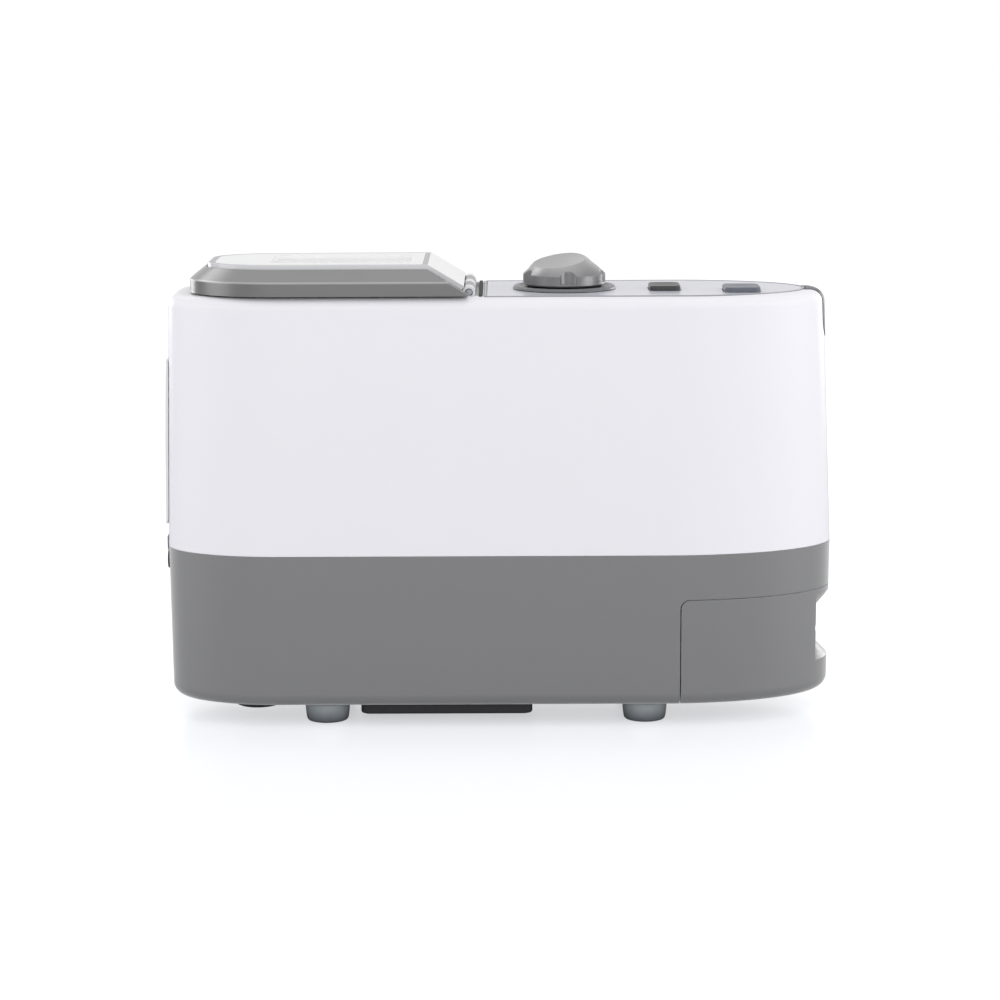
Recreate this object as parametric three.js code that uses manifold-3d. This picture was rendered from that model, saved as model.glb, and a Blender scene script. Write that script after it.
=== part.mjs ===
// Compression therapy pump: a desk-top air pump with a tilting display, a pressure knob,
// two keys and a four-way hose socket.
// Millimetres. +X runs to the hose end (front), +Y to the far side, +Z up.
// The origin is the centre of the footprint, on the surface that the feet stand on.
import * as THREE from 'three';
import { mergeVertices } from 'three/addons/utils/BufferGeometryUtils.js';
import Module from 'manifold-3d';

const wasm = await Module();
wasm.setup();

// Casing outline: straight flanks, a half-ellipse nose and two quarter-ellipse rear corners
const HALF_DEPTH = 45;
const NOSE_CENTRE_X = 75.7;
const NOSE_REACH = 79.3;
const TAIL_CENTRE_X = -101.3;
const TAIL_REACH = 53.6;
const TAIL_CORNER_DEPTH = 33;
const NOSE_STEPS = 20;
const TAIL_STEPS = 7;

// The drawing's datum, which lies a little ahead of the origin and above the table
const DATUM = { x: 0.6, z: 1 };

// Casing heights and walls
const BASE_BOTTOM = 8.2;
const BASE_FLOOR = 10.8;
const SEAM = 79;
const TOP = 197;
const WALL = 2.6;
const GAP = 0.3;
const TOP_DRAFT = 3.4 / (TOP - SEAM);
const NOSE_LEAN = 1.36;
const TAIL_LEAN = 0.68;
const BASE_DRAFT = 0.012;
const TOP_FILLET = 5.7;
const BOTTOM_FILLET = 6;
const FILLET_STEPS = 3;

// Case screws, also the fixings of the chassis
const CASE_POSTS = [[-96, 37], [-96, -37], [50, 37], [50, -37]];
const CHASSIS_Z = 86;
const CHASSIS_THICK = 2;

// Feet and what hangs under the base
const FEET = { foot_rear_left: [-80.9, 28], foot_rear_right: [-80.9, -28],
  foot_front_left: [66.8, 28], foot_front_right: [66.8, -28] };
const FOOT_RADIUS = 10.3;
const FOOT_FLAT_RADIUS = 8.8;
const STEM_RADIUS = 2.7;
const BOTTOM_COVER = { x0: -65.2, x1: 14.5, y: 33, z: 2.1, floor: 4.3 };
const FILTER = { x: -113.5, y: -20.5, radius: 10.7, bottom: 4.9, bore: 7.4, collar: 9.2 };

// Port cover and hose socket at the nose
const PORT_COVER_X = 82.6;
const PORT_COVER_TOP = 57.9;
const PARTING = 0.3;
const COVE = { back: 147.2, low: 23, high: 54.6, floor: 32.5, roof: 45 };
const SOCKET = { y: 19, z: 39.4, half: 6.3, pitch: 8.4, nipple: 2.7, bore: 1.5 };

// Rear fittings
const VENT = { y: 16, slot_y: 11, low: 89, high: 166, slots: 9 };
const CATCH = { y: 9, low: 75.5, high: 83.6, proud: 1.2 };
const INLET = { z: 70.85, half_y: 8.7, half_z: 4.35, pin_y: 4.3, pin: 1.15, face: -156.2 };

// Display, with its hinge
const LID = { inset_side: 3.5, reach: 41.1, low: 197.7, crease: 203.8, high: 210.6, bevel: 8.8,
  tip: -14.6, tip_z: 199.9, fold_x: -32.4 };
const HINGE = { x: -14, z: 198.4, knuckle: 2.9, pin: 1.5, half: 30.5 };

// Control panel, knob and keys
const PANEL = { back: -7.3, tip: 141.8, nose_x: 80, half: 37, floor: 195.7, top: 197.2 };
const STRIP = { back: 132, half: 8, low: 174.5 };
const KNOB = { x: 30, radius: 19.1, low: 199.2, skirt: 204.4, flutes: 5, first_flute: -85 };
const KNOB_DISH = { x: 17.4, y: -16.2, z: 293.4, radius: 86 };
const ESCUTCHEON_RADIUS = 23.85;
const KEYS = { start_button: [76.25, -5.2, 7.15], mode_button: [111.25, -13.8, 8.35] };
const KEY = { half_y: 10, top: 199.5, flange: 191.6, corner: 3.5 };
const KEY_BOARD_Z = 184;

// Pump and distributor in the base
const PUMP = { x0: -60, x1: 10, y: 26, base: 16.3, top: 62, axis_z: 40 };
const DISTRIBUTOR = { x: 86, radius: 22 };

const group = new THREE.Group();
const tau = Math.PI * 2;

// A closed three.js geometry as a solid, its faces turned outwards
function solidOf(geometry) {
  const bare = geometry.clone();
  for (const name of Object.keys(bare.attributes)) {
    if (name !== 'position') bare.deleteAttribute(name);
  }
  const merged = mergeVertices(bare, 1e-4);
  const place = merged.attributes.position.array;
  const corners = Array.from(merged.index.array);
  let volume = 0;
  const a = new THREE.Vector3();
  const b = new THREE.Vector3();
  const c = new THREE.Vector3();
  for (let i = 0; i < corners.length; i += 3) {
    a.fromArray(place, corners[i] * 3);
    b.fromArray(place, corners[i + 1] * 3);
    c.fromArray(place, corners[i + 2] * 3);
    volume += a.dot(b.cross(c));
  }
  if (volume < 0) corners.reverse();
  return new wasm.Manifold(new wasm.Mesh({
    numProp: 3,
    vertProperties: new Float32Array(place),
    triVerts: new Uint32Array(corners),
  }));
}

function geometryOf(solid) {
  const mesh = solid.getMesh();
  const geometry = new THREE.BufferGeometry();
  geometry.setAttribute('position', new THREE.BufferAttribute(new Float32Array(mesh.vertProperties), 3));
  geometry.setIndex(new THREE.BufferAttribute(new Uint32Array(mesh.triVerts), 1));
  geometry.computeVertexNormals();
  return geometry;
}

function addPart(name, solid, colour, roughness, metalness = 0) {
  const material = new THREE.MeshStandardMaterial({ color: colour, roughness, metalness });
  const mesh = new THREE.Mesh(geometryOf(solid).translate(DATUM.x, 0, DATUM.z), material);
  mesh.name = name;
  group.add(mesh);
}

function join(...solids) {
  return solids.reduce((whole, next) => whole.add(next));
}

function block(x0, x1, y0, y1, z0, z1) {
  const geometry = new THREE.BoxGeometry(x1 - x0, y1 - y0, z1 - z0);
  geometry.translate((x0 + x1) / 2, (y0 + y1) / 2, (z0 + z1) / 2);
  return solidOf(geometry);
}

// An upright round bar
function drum(x, y, radius, z0, z1, sides = 20) {
  const geometry = new THREE.CylinderGeometry(radius, radius, z1 - z0, sides);
  geometry.rotateX(Math.PI / 2);
  geometry.translate(x, y, (z0 + z1) / 2);
  return solidOf(geometry);
}

// A round bar along X
function barX(x0, x1, y, z, radius, sides = 16) {
  const geometry = new THREE.CylinderGeometry(radius, radius, x1 - x0, sides);
  geometry.rotateZ(Math.PI / 2);
  geometry.translate((x0 + x1) / 2, y, z);
  return solidOf(geometry);
}

// A round bar along Y
function barY(x, y0, y1, z, radius, sides = 16) {
  const geometry = new THREE.CylinderGeometry(radius, radius, y1 - y0, sides);
  geometry.translate(x, (y0 + y1) / 2, z);
  return solidOf(geometry);
}

// A turned piece on an upright axis, from a profile of [radius, z] that closes on itself or on the axis
function turned(profile, x = 0, y = 0, sides = 24) {
  const points = profile.map(([r, z]) => new THREE.Vector2(r, z));
  if (profile[0][0] > 0) points.push(points[0].clone());
  const geometry = new THREE.LatheGeometry(points, sides);
  geometry.rotateX(Math.PI / 2);
  geometry.translate(x, y, 0);
  return solidOf(geometry);
}

// A flat outline in the XY plane, raised from z0 to z1
function plate(points, z0, z1) {
  const shape = new THREE.Shape(points.map(([x, y]) => new THREE.Vector2(x, y)));
  const geometry = new THREE.ExtrudeGeometry(shape, { depth: z1 - z0, bevelEnabled: false });
  geometry.translate(0, 0, z0);
  return solidOf(geometry);
}

// A side view in the XZ plane, drawn across from -half to +half in Y
function profileXZ(points, half) {
  const shape = new THREE.Shape(points.map(([x, z]) => new THREE.Vector2(x, z)));
  const geometry = new THREE.ExtrudeGeometry(shape, { depth: 2 * half, bevelEnabled: false });
  geometry.rotateX(Math.PI / 2);
  geometry.translate(0, half, 0);
  return solidOf(geometry);
}

// A skin over level rings of [x, y], each with its height, closed flat at both ends
function loft(levels) {
  const count = levels[0].ring.length;
  const place = [];
  const corners = [];
  for (const { ring, z } of levels) {
    for (const [x, y] of ring) place.push(x, y, z);
  }
  for (let level = 0; level + 1 < levels.length; level += 1) {
    for (let i = 0; i < count; i += 1) {
      const low = level * count + i;
      const next = level * count + (i + 1) % count;
      corners.push(low, next, next + count, low, next + count, low + count);
    }
  }
  const last = (levels.length - 1) * count;
  for (let i = 1; i + 1 < count; i += 1) {
    corners.push(0, i + 1, i);
    corners.push(last, last + i, last + i + 1);
  }
  const geometry = new THREE.BufferGeometry();
  geometry.setAttribute('position', new THREE.Float32BufferAttribute(place, 3));
  geometry.setIndex(corners);
  return solidOf(geometry);
}

// Points on an arc of an ellipse, both ends included; the angles are in degrees
function arc(cx, cy, rx, ry, from, to, steps) {
  const points = [];
  for (let i = 0; i <= steps; i += 1) {
    const angle = THREE.MathUtils.degToRad(from + (to - from) * i / steps);
    points.push([cx + rx * Math.cos(angle), cy + ry * Math.sin(angle)]);
  }
  return points;
}

// The casing's outline, drawn in by an inset and by the cover's lean, which is larger at the nose
function caseRing(inset, lean = 0) {
  const corner = TAIL_CORNER_DEPTH - inset - lean;
  const corner_y = HALF_DEPTH - TAIL_CORNER_DEPTH;
  const nose = NOSE_REACH - inset - NOSE_LEAN * lean;
  const tail = TAIL_REACH - inset - TAIL_LEAN * lean;
  return [
    ...arc(NOSE_CENTRE_X, 0, nose, HALF_DEPTH - inset - lean, -90, 90, NOSE_STEPS),
    ...arc(TAIL_CENTRE_X, corner_y, tail, corner, 90, 180, TAIL_STEPS),
    ...arc(TAIL_CENTRE_X, -corner_y, tail, corner, 180, 270, TAIL_STEPS),
  ];
}

// The white cover's form: it leans in towards the top and ends in a rounded edge
function coverForm(inset, bottom) {
  const radius = Math.max(TOP_FILLET - inset, 1.5);
  const shoulder = TOP - inset - radius;
  const lean = (z) => (z - SEAM) * TOP_DRAFT;
  const levels = [{ ring: caseRing(inset, lean(bottom)), z: bottom }];
  for (let i = 0; i <= FILLET_STEPS; i += 1) {
    const angle = Math.PI / 2 * i / FILLET_STEPS;
    const inward = inset + radius * (1 - Math.cos(angle));
    levels.push({ ring: caseRing(inward, lean(shoulder)), z: shoulder + radius * Math.sin(angle) });
  }
  return loft(levels);
}

// The grey base's form: a rounded bottom edge under nearly upright walls
function baseForm(inset, top) {
  const radius = Math.max(BOTTOM_FILLET - inset, 1.5);
  const shoulder = BASE_BOTTOM + inset + radius;
  const lean = inset + (SEAM - shoulder) * BASE_DRAFT;
  const levels = [];
  for (let i = 0; i <= FILLET_STEPS; i += 1) {
    const angle = Math.PI / 2 * (1 - i / FILLET_STEPS);
    const inward = lean + radius * (1 - Math.cos(angle));
    levels.push({ ring: caseRing(inward), z: shoulder - radius * Math.sin(angle) });
  }
  levels.push({ ring: caseRing(inset), z: top });
  return loft(levels);
}

function uprightForm(inset, z0, z1) {
  return loft([{ ring: caseRing(inset), z: z0 }, { ring: caseRing(inset), z: z1 }]);
}

// A rectangle with rounded corners
function roundedRing(x, y, half_x, half_y, radius, steps = 3) {
  const along_x = half_x - radius;
  const along_y = half_y - radius;
  return [
    ...arc(x + along_x, y + along_y, radius, radius, 0, 90, steps),
    ...arc(x - along_x, y + along_y, radius, radius, 90, 180, steps),
    ...arc(x - along_x, y - along_y, radius, radius, 180, 270, steps),
    ...arc(x + along_x, y - along_y, radius, radius, 270, 360, steps),
  ];
}

// A slot with round ends: half_x by half_y, whichever is longer sets its direction
function slotRing(x, y, half_x, half_y, steps = 4) {
  const ring = roundedRing(x, y, half_x, half_y, Math.min(half_x, half_y), steps);
  return ring.filter(([px, py], i) => {
    const [qx, qy] = ring[(i + 1) % ring.length];
    return Math.hypot(px - qx, py - qy) > 1e-6;
  });
}

function keyRing(x, y, half_x, margin) {
  return roundedRing(x, y, half_x + margin, KEY.half_y + margin, KEY.corner + margin);
}

// A long round-ended bar along X, wide in Y
function slotBarX(x0, x1, z, half_y, half_z, steps = 4) {
  const geometry = new THREE.ExtrudeGeometry(
    new THREE.Shape(slotRing(0, z, half_y, half_z, steps).map(([y, h]) => new THREE.Vector2(y, h))),
    { depth: x1 - x0, bevelEnabled: false },
  );
  const turn = new THREE.Matrix4().makeBasis(
    new THREE.Vector3(0, 1, 0), new THREE.Vector3(0, 0, 1), new THREE.Vector3(1, 0, 0));
  geometry.applyMatrix4(turn);
  geometry.translate(x0, 0, 0);
  return solidOf(geometry);
}

// A round tube or rod swept along a smooth route
function hose(route, radius, steps) {
  const curve = new THREE.CatmullRomCurve3(route.map(([x, y, z]) => new THREE.Vector3(x, y, z)));
  const section = new THREE.Shape(arc(0, 0, radius, radius, 0, 300, 5).map(([x, y]) => new THREE.Vector2(x, y)));
  return solidOf(new THREE.ExtrudeGeometry(section, { steps, extrudePath: curve, bevelEnabled: false }));
}

// The corner of the base that the port cover takes, grown or drawn in by a margin
function portRegion(margin) {
  const x = PORT_COVER_X - margin;
  const z = PORT_COVER_TOP + margin;
  const radius = 4 + margin;
  return profileXZ([[x, 0], [170, 0], [170, z], ...arc(x + radius, z - radius, radius, radius, 90, 180, 3)], 60);
}

// Upper housing: the white cover, open below
function upperHousing() {
  let body = coverForm(0, SEAM + GAP / 2).subtract(coverForm(WALL, SEAM - 1));
  for (const [x, y] of CASE_POSTS) {
    const side = Math.sign(y);
    const low = CHASSIS_Z + CHASSIS_THICK + GAP;
    const rib = block(x - 1, x + 1, Math.min(y, y + side * 6.2), Math.max(y, y + side * 6.2), low, low + 30);
    body = body.add(drum(x, y, 4, low, low + 34, 12)).add(rib);
  }
  const trough = block(HINGE.x - 7.6, HINGE.x + 9, -HINGE.half - 3, HINGE.half + 3, 190.6, 195);
  body = body.add(trough);
  for (const [x, y] of [[10, 24], [10, -24], [100, 26], [100, -26]]) {
    body = body.add(drum(x, y, 3, KEY_BOARD_Z + 1.6 + GAP, TOP - 2, 8));
    body = body.subtract(drum(x, y, 1.4, KEY_BOARD_Z, 192, 6));
  }
  for (const [x, y] of CASE_POSTS) body = body.subtract(drum(x, y, 1.9, SEAM, 112, 8));
  body = body.subtract(block(HINGE.x - 5.2, PANEL.back - GAP, -HINGE.half - 0.5, HINGE.half + 0.5, 193.2, 200));
  body = body.subtract(plate(panelRing(0), PANEL.floor, 200));
  body = body.subtract(drum(KNOB.x, 0, 5, 190, 200, 20));
  for (const [x, y, half_x] of Object.values(KEYS)) {
    body = body.subtract(plate(keyRing(x, y, half_x, 0.4), 190, 200));
  }
  body = body.subtract(stripRegion(GAP).subtract(coverForm(0.7, SEAM)));
  body = body.subtract(block(-160, -140, -VENT.slot_y - 2, VENT.slot_y + 2, 96, 159));
  body = body.subtract(block(-160, -140, -5.3, 5.3, SEAM - 2, 82.3));
  return body;
}

// Lower housing: the grey tray, with a lip that centres the cover and one behind the port cover
function lowerHousing() {
  const top = SEAM - GAP / 2;
  let body = baseForm(0, top).subtract(baseForm(WALL, SEAM + 5));
  const lip_in = WALL + 1.7;
  const lip = uprightForm(WALL - 0.4, 75, top).add(uprightForm(WALL + GAP + 0.05, top - 1, 82));
  body = body.add(lip.subtract(uprightForm(lip_in, 73, SEAM + 5)));
  for (const [x, y] of CASE_POSTS) {
    body = body.add(drum(x, y, 5, BASE_FLOOR - 1, CHASSIS_Z - GAP, 14));
  }
  for (const x of [-128, -94]) body = body.add(block(x - 3, x + 3, 10, 26, BASE_FLOOR - 1, 19.7));
  body = body.add(block(68, 79, -14, 14, BASE_FLOOR - 1, 15.6));
  body = body.subtract(portRegion(PARTING));
  const edge = PORT_COVER_X - PARTING;
  for (const side of [-1, 1]) {
    const rib = (x0, x1, inner, outer) => block(x0, x1, Math.min(side * inner, side * outer),
      Math.max(side * inner, side * outer), 16, PORT_COVER_TOP - 5);
    body = body.add(rib(edge - 4, edge, 38.8, HALF_DEPTH - 1.8)).add(rib(edge - 1, edge + 5, 38.8, 40.6));
  }
  for (const [x, y] of CASE_POSTS) {
    body = body.subtract(drum(x, y, 3.5, 0, 70, 12)).subtract(drum(x, y, 1.9, 60, 90, 10));
  }
  for (const [x, y] of Object.values(FEET)) body = body.subtract(drum(x, y, STEM_RADIUS + 0.6, 0, 19, 12));
  body = body.subtract(block(BOTTOM_COVER.x0 + 10, BOTTOM_COVER.x1 - 10, -29, 29, 0, 14));
  body = body.subtract(drum(FILTER.x, FILTER.y, FILTER.collar + 0.4, 0, 14, 20));
  body = body.subtract(slotBarX(-160, -140, INLET.z, INLET.half_y + GAP, INLET.half_z + GAP));
  body = body.subtract(block(-160, -140, -5.3, 5.3, 76.7, 85));
  return body;
}

// Port cover: the U-shaped nose of the base, with a cove across it and a flat for the hose socket
function portCover() {
  const form = baseForm(0, SEAM);
  let body = form.subtract(baseForm(WALL, SEAM + 5));
  body = body.add(form.intersect(block(COVE.back - WALL, 170, -40, 40, 20.5, 56.9)));
  body = body.add(block(90, 102, -12, 12, BASE_FLOOR - 1, 15.6)).intersect(portRegion(-PARTING));
  const waist = loft([
    { ring: caseRing(-1), z: COVE.low - 1 },
    { ring: caseRing(0.6), z: COVE.low + 0.4 },
    { ring: caseRing(1.6), z: COVE.low + 1.8 },
    { ring: caseRing(8.4), z: COVE.floor },
    { ring: caseRing(8.4), z: COVE.roof },
    { ring: caseRing(1.2), z: COVE.high - 1 },
    { ring: caseRing(-1), z: COVE.high + 1.2 },
  ]);
  const cove = block(COVE.back, 170, -40, 40, COVE.low - 1, COVE.high + 1.2).subtract(waist);
  body = body.subtract(cove);
  return body.subtract(slotBarX(COVE.back - 6, 170, SOCKET.z, SOCKET.y, SOCKET.half));
}

// Hose socket: a moulded oval cup with four nipples in its floor, and tails for the inner tubes
function hoseSocket() {
  const mouth = COVE.back - 0.4;
  const floor = 130;
  let body = slotBarX(floor - 2, mouth, SOCKET.z, SOCKET.y - GAP, SOCKET.half - GAP);
  body = body.add(slotBarX(141.6, COVE.back - WALL - GAP, SOCKET.z, SOCKET.y - GAP, SOCKET.half + 2));
  body = body.subtract(slotBarX(floor, 170, SOCKET.z, SOCKET.y - 1.7, SOCKET.half - 1.7));
  for (const y of nippleRows()) {
    body = body.add(barX(floor - 8, 138, y, SOCKET.z, SOCKET.nipple, 10));
    body = body.subtract(barX(floor - 9, 139, y, SOCKET.z, SOCKET.bore, 6));
  }
  return body;
}

function nippleRows() {
  return [-1.5, -0.5, 0.5, 1.5].map((step) => step * SOCKET.pitch);
}

// Display outline: it follows the casing's rear, with a straight end at the hinge
function lidRing(inset, end = LID.tip) {
  const half = HALF_DEPTH - LID.inset_side - inset;
  const corner_y = HALF_DEPTH - TAIL_CORNER_DEPTH;
  const corner = half - corner_y;
  const reach = LID.reach - inset;
  return [
    [end, -half],
    [end, half],
    ...arc(TAIL_CENTRE_X, corner_y, reach, corner, 90, 180, TAIL_STEPS),
    ...arc(TAIL_CENTRE_X, -corner_y, reach, corner, 180, 270, TAIL_STEPS),
  ];
}

// All that lies below the display's top and its sloping end, raised or sunk by a margin
function underLidTop(margin) {
  const slope = Math.atan2(LID.high - LID.tip_z, LID.tip - LID.fold_x);
  const up = margin / Math.cos(slope);
  const rise = margin * Math.tan(slope / 2);
  const run = Math.tan(slope);
  const far = 10;
  return profileXZ([
    [-160, 190],
    [LID.tip + far, 190],
    [LID.tip + far, LID.tip_z + up - far * run],
    [LID.fold_x + rise, LID.high + margin],
    [-160, LID.high + margin],
  ], 60);
}

function lidBody(inset, low) {
  return loft([
    { ring: lidRing(inset), z: low },
    { ring: lidRing(inset), z: LID.crease - inset * 0.4 },
    { ring: lidRing(inset * 0.8 + LID.bevel), z: LID.high },
  ]);
}

function hingeSweep(extra) {
  return barY(HINGE.x, -HINGE.half - 0.6, HINGE.half + 0.6, HINGE.z, HINGE.knuckle + extra, 16);
}

// One arm of the display's floor, reaching out to its knuckle
function hingeArm(side, margin) {
  const y = side * 14.2;
  const half = 7.8 + margin;
  return block(HINGE.x - 8, HINGE.x, y - half, y + half, LID.low - margin, LID.low + 1.6 + margin);
}

// Display bezel: the grey shell round the glass, with a bevel along its sides
function displayBezel() {
  let body = lidBody(0, LID.low).intersect(underLidTop(0));
  body = body.subtract(lidBody(1.9, 190).intersect(underLidTop(-2)));
  const recess = plate(lidRing(LID.bevel + 0.5, 0), 190, 215).subtract(underLidTop(-1.5));
  body = body.subtract(recess);
  body = body.subtract(block(-126, -40, -25, 25, 204, 215));
  for (const side of [-1, 1]) body = body.subtract(hingeArm(side, GAP));
  return body.subtract(hingeSweep(0.5));
}

function displayWindow() {
  const region = plate(lidRing(LID.bevel + 0.8, LID.tip - 4.5), 190, 215);
  return region.intersect(underLidTop(0.15)).subtract(underLidTop(-1.2));
}

// Back cover: the display's floor, with two knuckles that turn on the hinge pin
function displayBackCover() {
  let body = plate(lidRing(2.2, LID.tip - 1), LID.low, LID.low + 1.6).intersect(underLidTop(-2.4));
  for (const x of [-124, -43]) {
    for (const y of [-25, 25]) body = body.add(drum(x, y, 2, LID.low + 1, LID.low + 2.2, 8));
  }
  body = body.subtract(hingeSweep(0.5));
  for (const side of [-1, 1]) {
    const y = side * 14.2;
    body = body.add(barY(HINGE.x, y - 7.8, y + 7.8, HINGE.z, HINGE.knuckle)).add(hingeArm(side, 0));
  }
  return body.subtract(barY(HINGE.x, -40, 40, HINGE.z, HINGE.pin + GAP, 12));
}

// Display glass on its driver board
function lcdModule() {
  return block(-125, -41, -24, 24, 201.5, 206.8).add(block(-129, -38, -28, 28, 200.2, 201.8));
}

// Hinge bracket: three lugs on a foot that is screwed into the trough of the cover
function hingeBracket() {
  let body = block(HINGE.x - 4.6, HINGE.x + 4.6, -HINGE.half, HINGE.half, 193.5, 194.9);
  for (const [y0, y1] of [[-HINGE.half, -22.4], [-6, 6], [22.4, HINGE.half]]) {
    const web = block(HINGE.x - HINGE.knuckle, HINGE.x + HINGE.knuckle, y0, y1, 194, HINGE.z);
    body = body.add(barY(HINGE.x, y0, y1, HINGE.z, HINGE.knuckle)).add(web);
  }
  return body.subtract(barY(HINGE.x, -40, 40, HINGE.z, HINGE.pin + GAP, 12));
}

// Control panel outline: straight at the hinge, an ellipse inside the nose
function panelRing(inset) {
  const half = PANEL.half - inset;
  const back = PANEL.back + inset;
  return [
    ...arc(back + 2, -half + 2, 2, 2, 180, 270, 3),
    ...arc(PANEL.nose_x, 0, PANEL.tip - PANEL.nose_x - inset, half, -90, 90, 20),
    ...arc(back + 2, half - 2, 2, 2, 90, 180, 3),
  ];
}

function controlPanel() {
  let body = plate(panelRing(1.6), PANEL.floor + GAP, PANEL.top);
  body = body.subtract(drum(KNOB.x, 0, 7, 190, 200, 20));
  for (const [x, y, half_x] of Object.values(KEYS)) {
    body = body.subtract(plate(keyRing(x, y, half_x, 0.35), 190, 200));
  }
  return body;
}

function panelTrim() {
  const outer = plate(panelRing(GAP), PANEL.floor + GAP, PANEL.top + 0.15);
  return outer.subtract(plate(panelRing(1.3), 190, 200));
}

// Where the trim strip lies: a tongue from the panel's tip down the nose, grown by a margin
function stripRegion(margin) {
  const tongue = slotBarX(STRIP.back, 160, STRIP.low + 20, STRIP.half + margin, 20 + margin, 6);
  return tongue.subtract(plate(panelRing(margin - GAP), 190, 220));
}

// Trim strip: it carries the panel's trim over the front edge and down the nose
function frontTrimStrip() {
  return coverForm(-0.3, SEAM).intersect(stripRegion(0)).subtract(coverForm(0.4, SEAM - 1));
}

// One level of the knob: an ellipse, shifted from the spindle
function knobLevel(reach_x, reach_y, shift_x, shift_y, z) {
  return { ring: arc(KNOB.x + shift_x, shift_y, reach_x, reach_y, 0, 348.75, 31), z };
}

// Pressure knob: an upright skirt with five flutes under a lopsided dome, whose top is dished for a finger
function pressureKnob() {
  const { x, radius, low, skirt } = KNOB;
  let body = loft([
    knobLevel(radius - 0.8, radius - 0.8, 0, 0, low),
    knobLevel(radius, radius, 0, 0, low + 0.8),
    knobLevel(radius, radius, 0, 0, skirt),
    knobLevel(16.7, 16.7, 0, 0, 206.4),
    knobLevel(13.5, 13.9, -0.5, 1, 209.4),
    knobLevel(11.6, 12.4, 0, 1.5, 210.7),
    knobLevel(8.9, 10, 0.9, 2, 212),
    knobLevel(5.6, 7, 1.8, 2.5, 212.9),
    knobLevel(2.4, 3, 2.1, 3, 213.3),
  ]);
  const sphere = new THREE.SphereGeometry(KNOB_DISH.radius, 96, 64);
  sphere.rotateX(Math.PI / 2);
  sphere.translate(KNOB_DISH.x, KNOB_DISH.y, KNOB_DISH.z);
  body = body.subtract(solidOf(sphere));
  for (let i = 0; i < KNOB.flutes; i += 1) {
    const angle = THREE.MathUtils.degToRad(KNOB.first_flute) + tau * i / KNOB.flutes;
    const reach = radius + 2.6;
    body = body.subtract(drum(x + reach * Math.cos(angle), reach * Math.sin(angle), 5, low + 1.4, 220, 14));
  }
  return body.subtract(turned([[0, 190], [15.2, 190], [15.2, low + 1.6], [5.5, low + 1.6], [5.5, low + 2.4],
    [3.3, low + 2.4], [3.3, 208.4], [0, 208.4]], x, 0, 20));
}

// Key: a cap with rounded corners, a dished top and a flange that stays under the cover
function keyCap(x, y, half_x) {
  const cap = plate(keyRing(x, y, half_x, 0), KEY.flange, KEY.top);
  const flange = plate(keyRing(x, y, half_x, 1.3), KEY.flange, KEY.flange + 2);
  const dish = turned([[0, 0], [5, 0.15], [9, 0.55], [11, 0.9], [11, 5], [0, 5]], x, y, 20);
  return cap.add(flange).subtract(dish.translate([0, 0, KEY.top - 0.55]));
}

// Rubber foot: a rounded buffer with a stem that is pressed into the base
function footSolid(x, y) {
  return turned([
    [0, -DATUM.z], [FOOT_FLAT_RADIUS, -DATUM.z], [9.7, -0.1], [10.1, 2.6],
    [FOOT_RADIUS, BASE_BOTTOM - GAP], [STEM_RADIUS, BASE_BOTTOM - GAP], [STEM_RADIUS, 15], [0, 15],
  ], x, y, 18);
}

// Case screw: it goes up through a base post and the chassis into the cover's boss
function caseScrew(x, y) {
  return drum(x, y, 3.1, 67.2, 69.7, 10).add(drum(x, y, 1.6, 69.6, 105, 8));
}

// Pump compartment cover: a shallow black tray with vent slots and two snap hooks
function bottomCover() {
  const { x0, x1, y, z, floor } = BOTTOM_COVER;
  const centre = (x0 + x1) / 2;
  const half = (x1 - x0) / 2;
  const level = (inset, height) => ({ ring: roundedRing(centre, 0, half - inset, y - inset, 3), z: height });
  const hook_low = BASE_FLOOR + GAP;
  let body = loft([level(1.2, z), level(0, z + 1.2), level(0, BASE_BOTTOM - GAP)]);
  body = body.add(block(x0 + 10.4, x1 - 10.4, -28.6, 28.6, BASE_BOTTOM - 1, hook_low + 0.3));
  body = body.subtract(block(x0 + 12.4, x1 - 12.4, -26.6, 26.6, floor, hook_low + 1));
  for (const [a, b] of [[x0 + 9, x0 + 12.4], [x1 - 12.4, x1 - 9]]) {
    body = body.add(block(a, b, -8, 8, hook_low, hook_low + 1.3));
  }
  for (let i = -3; i <= 3; i += 1) {
    body = body.subtract(block(centre + i * 5 - 1, centre + i * 5 + 1, -16, 16, z - 1, floor + 1));
  }
  return body;
}

// Vent cover: a bowed, louvred plate on the rear of the white cover
function rearVentCover() {
  const levels = [];
  for (let i = 0; i <= 4; i += 1) {
    const share = i / 4;
    const proud = 1.3 + 0.3 * Math.sin(Math.PI * share);
    const z = VENT.low + (VENT.high - VENT.low) * share;
    levels.push({ ring: caseRing(-proud, (z - SEAM) * TOP_DRAFT), z });
  }
  let body = loft(levels).intersect(block(-170, -120, -VENT.y, VENT.y, 80, 170));
  body = body.subtract(coverForm(-GAP, SEAM));
  const pitch = (VENT.high - VENT.low - 12) / VENT.slots;
  for (let i = 0; i < VENT.slots; i += 1) {
    const z = VENT.low + 6 + pitch * (i + 0.5);
    body = body.subtract(block(-170, -120, -VENT.slot_y, VENT.slot_y, z - 1.2, z + 1.2));
  }
  return body;
}

function rearCatch() {
  const face = caseRing(-CATCH.proud);
  const plateForm = loft([
    { ring: caseRing(-CATCH.proud + 1), z: CATCH.low },
    { ring: face, z: CATCH.low + 1.2 },
    { ring: face, z: CATCH.high - 1.6 },
    { ring: caseRing(-CATCH.proud + 1.2), z: CATCH.high },
  ]);
  const body = plateForm.intersect(block(-170, -150, -CATCH.y, CATCH.y, 70, 90)).subtract(uprightForm(-GAP, 70, 90));
  return body.add(block(-155.5, -146, -5, 5, 77.1, 81.9)).subtract(block(-150, -140, -3, 3, 70, 90));
}

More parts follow.
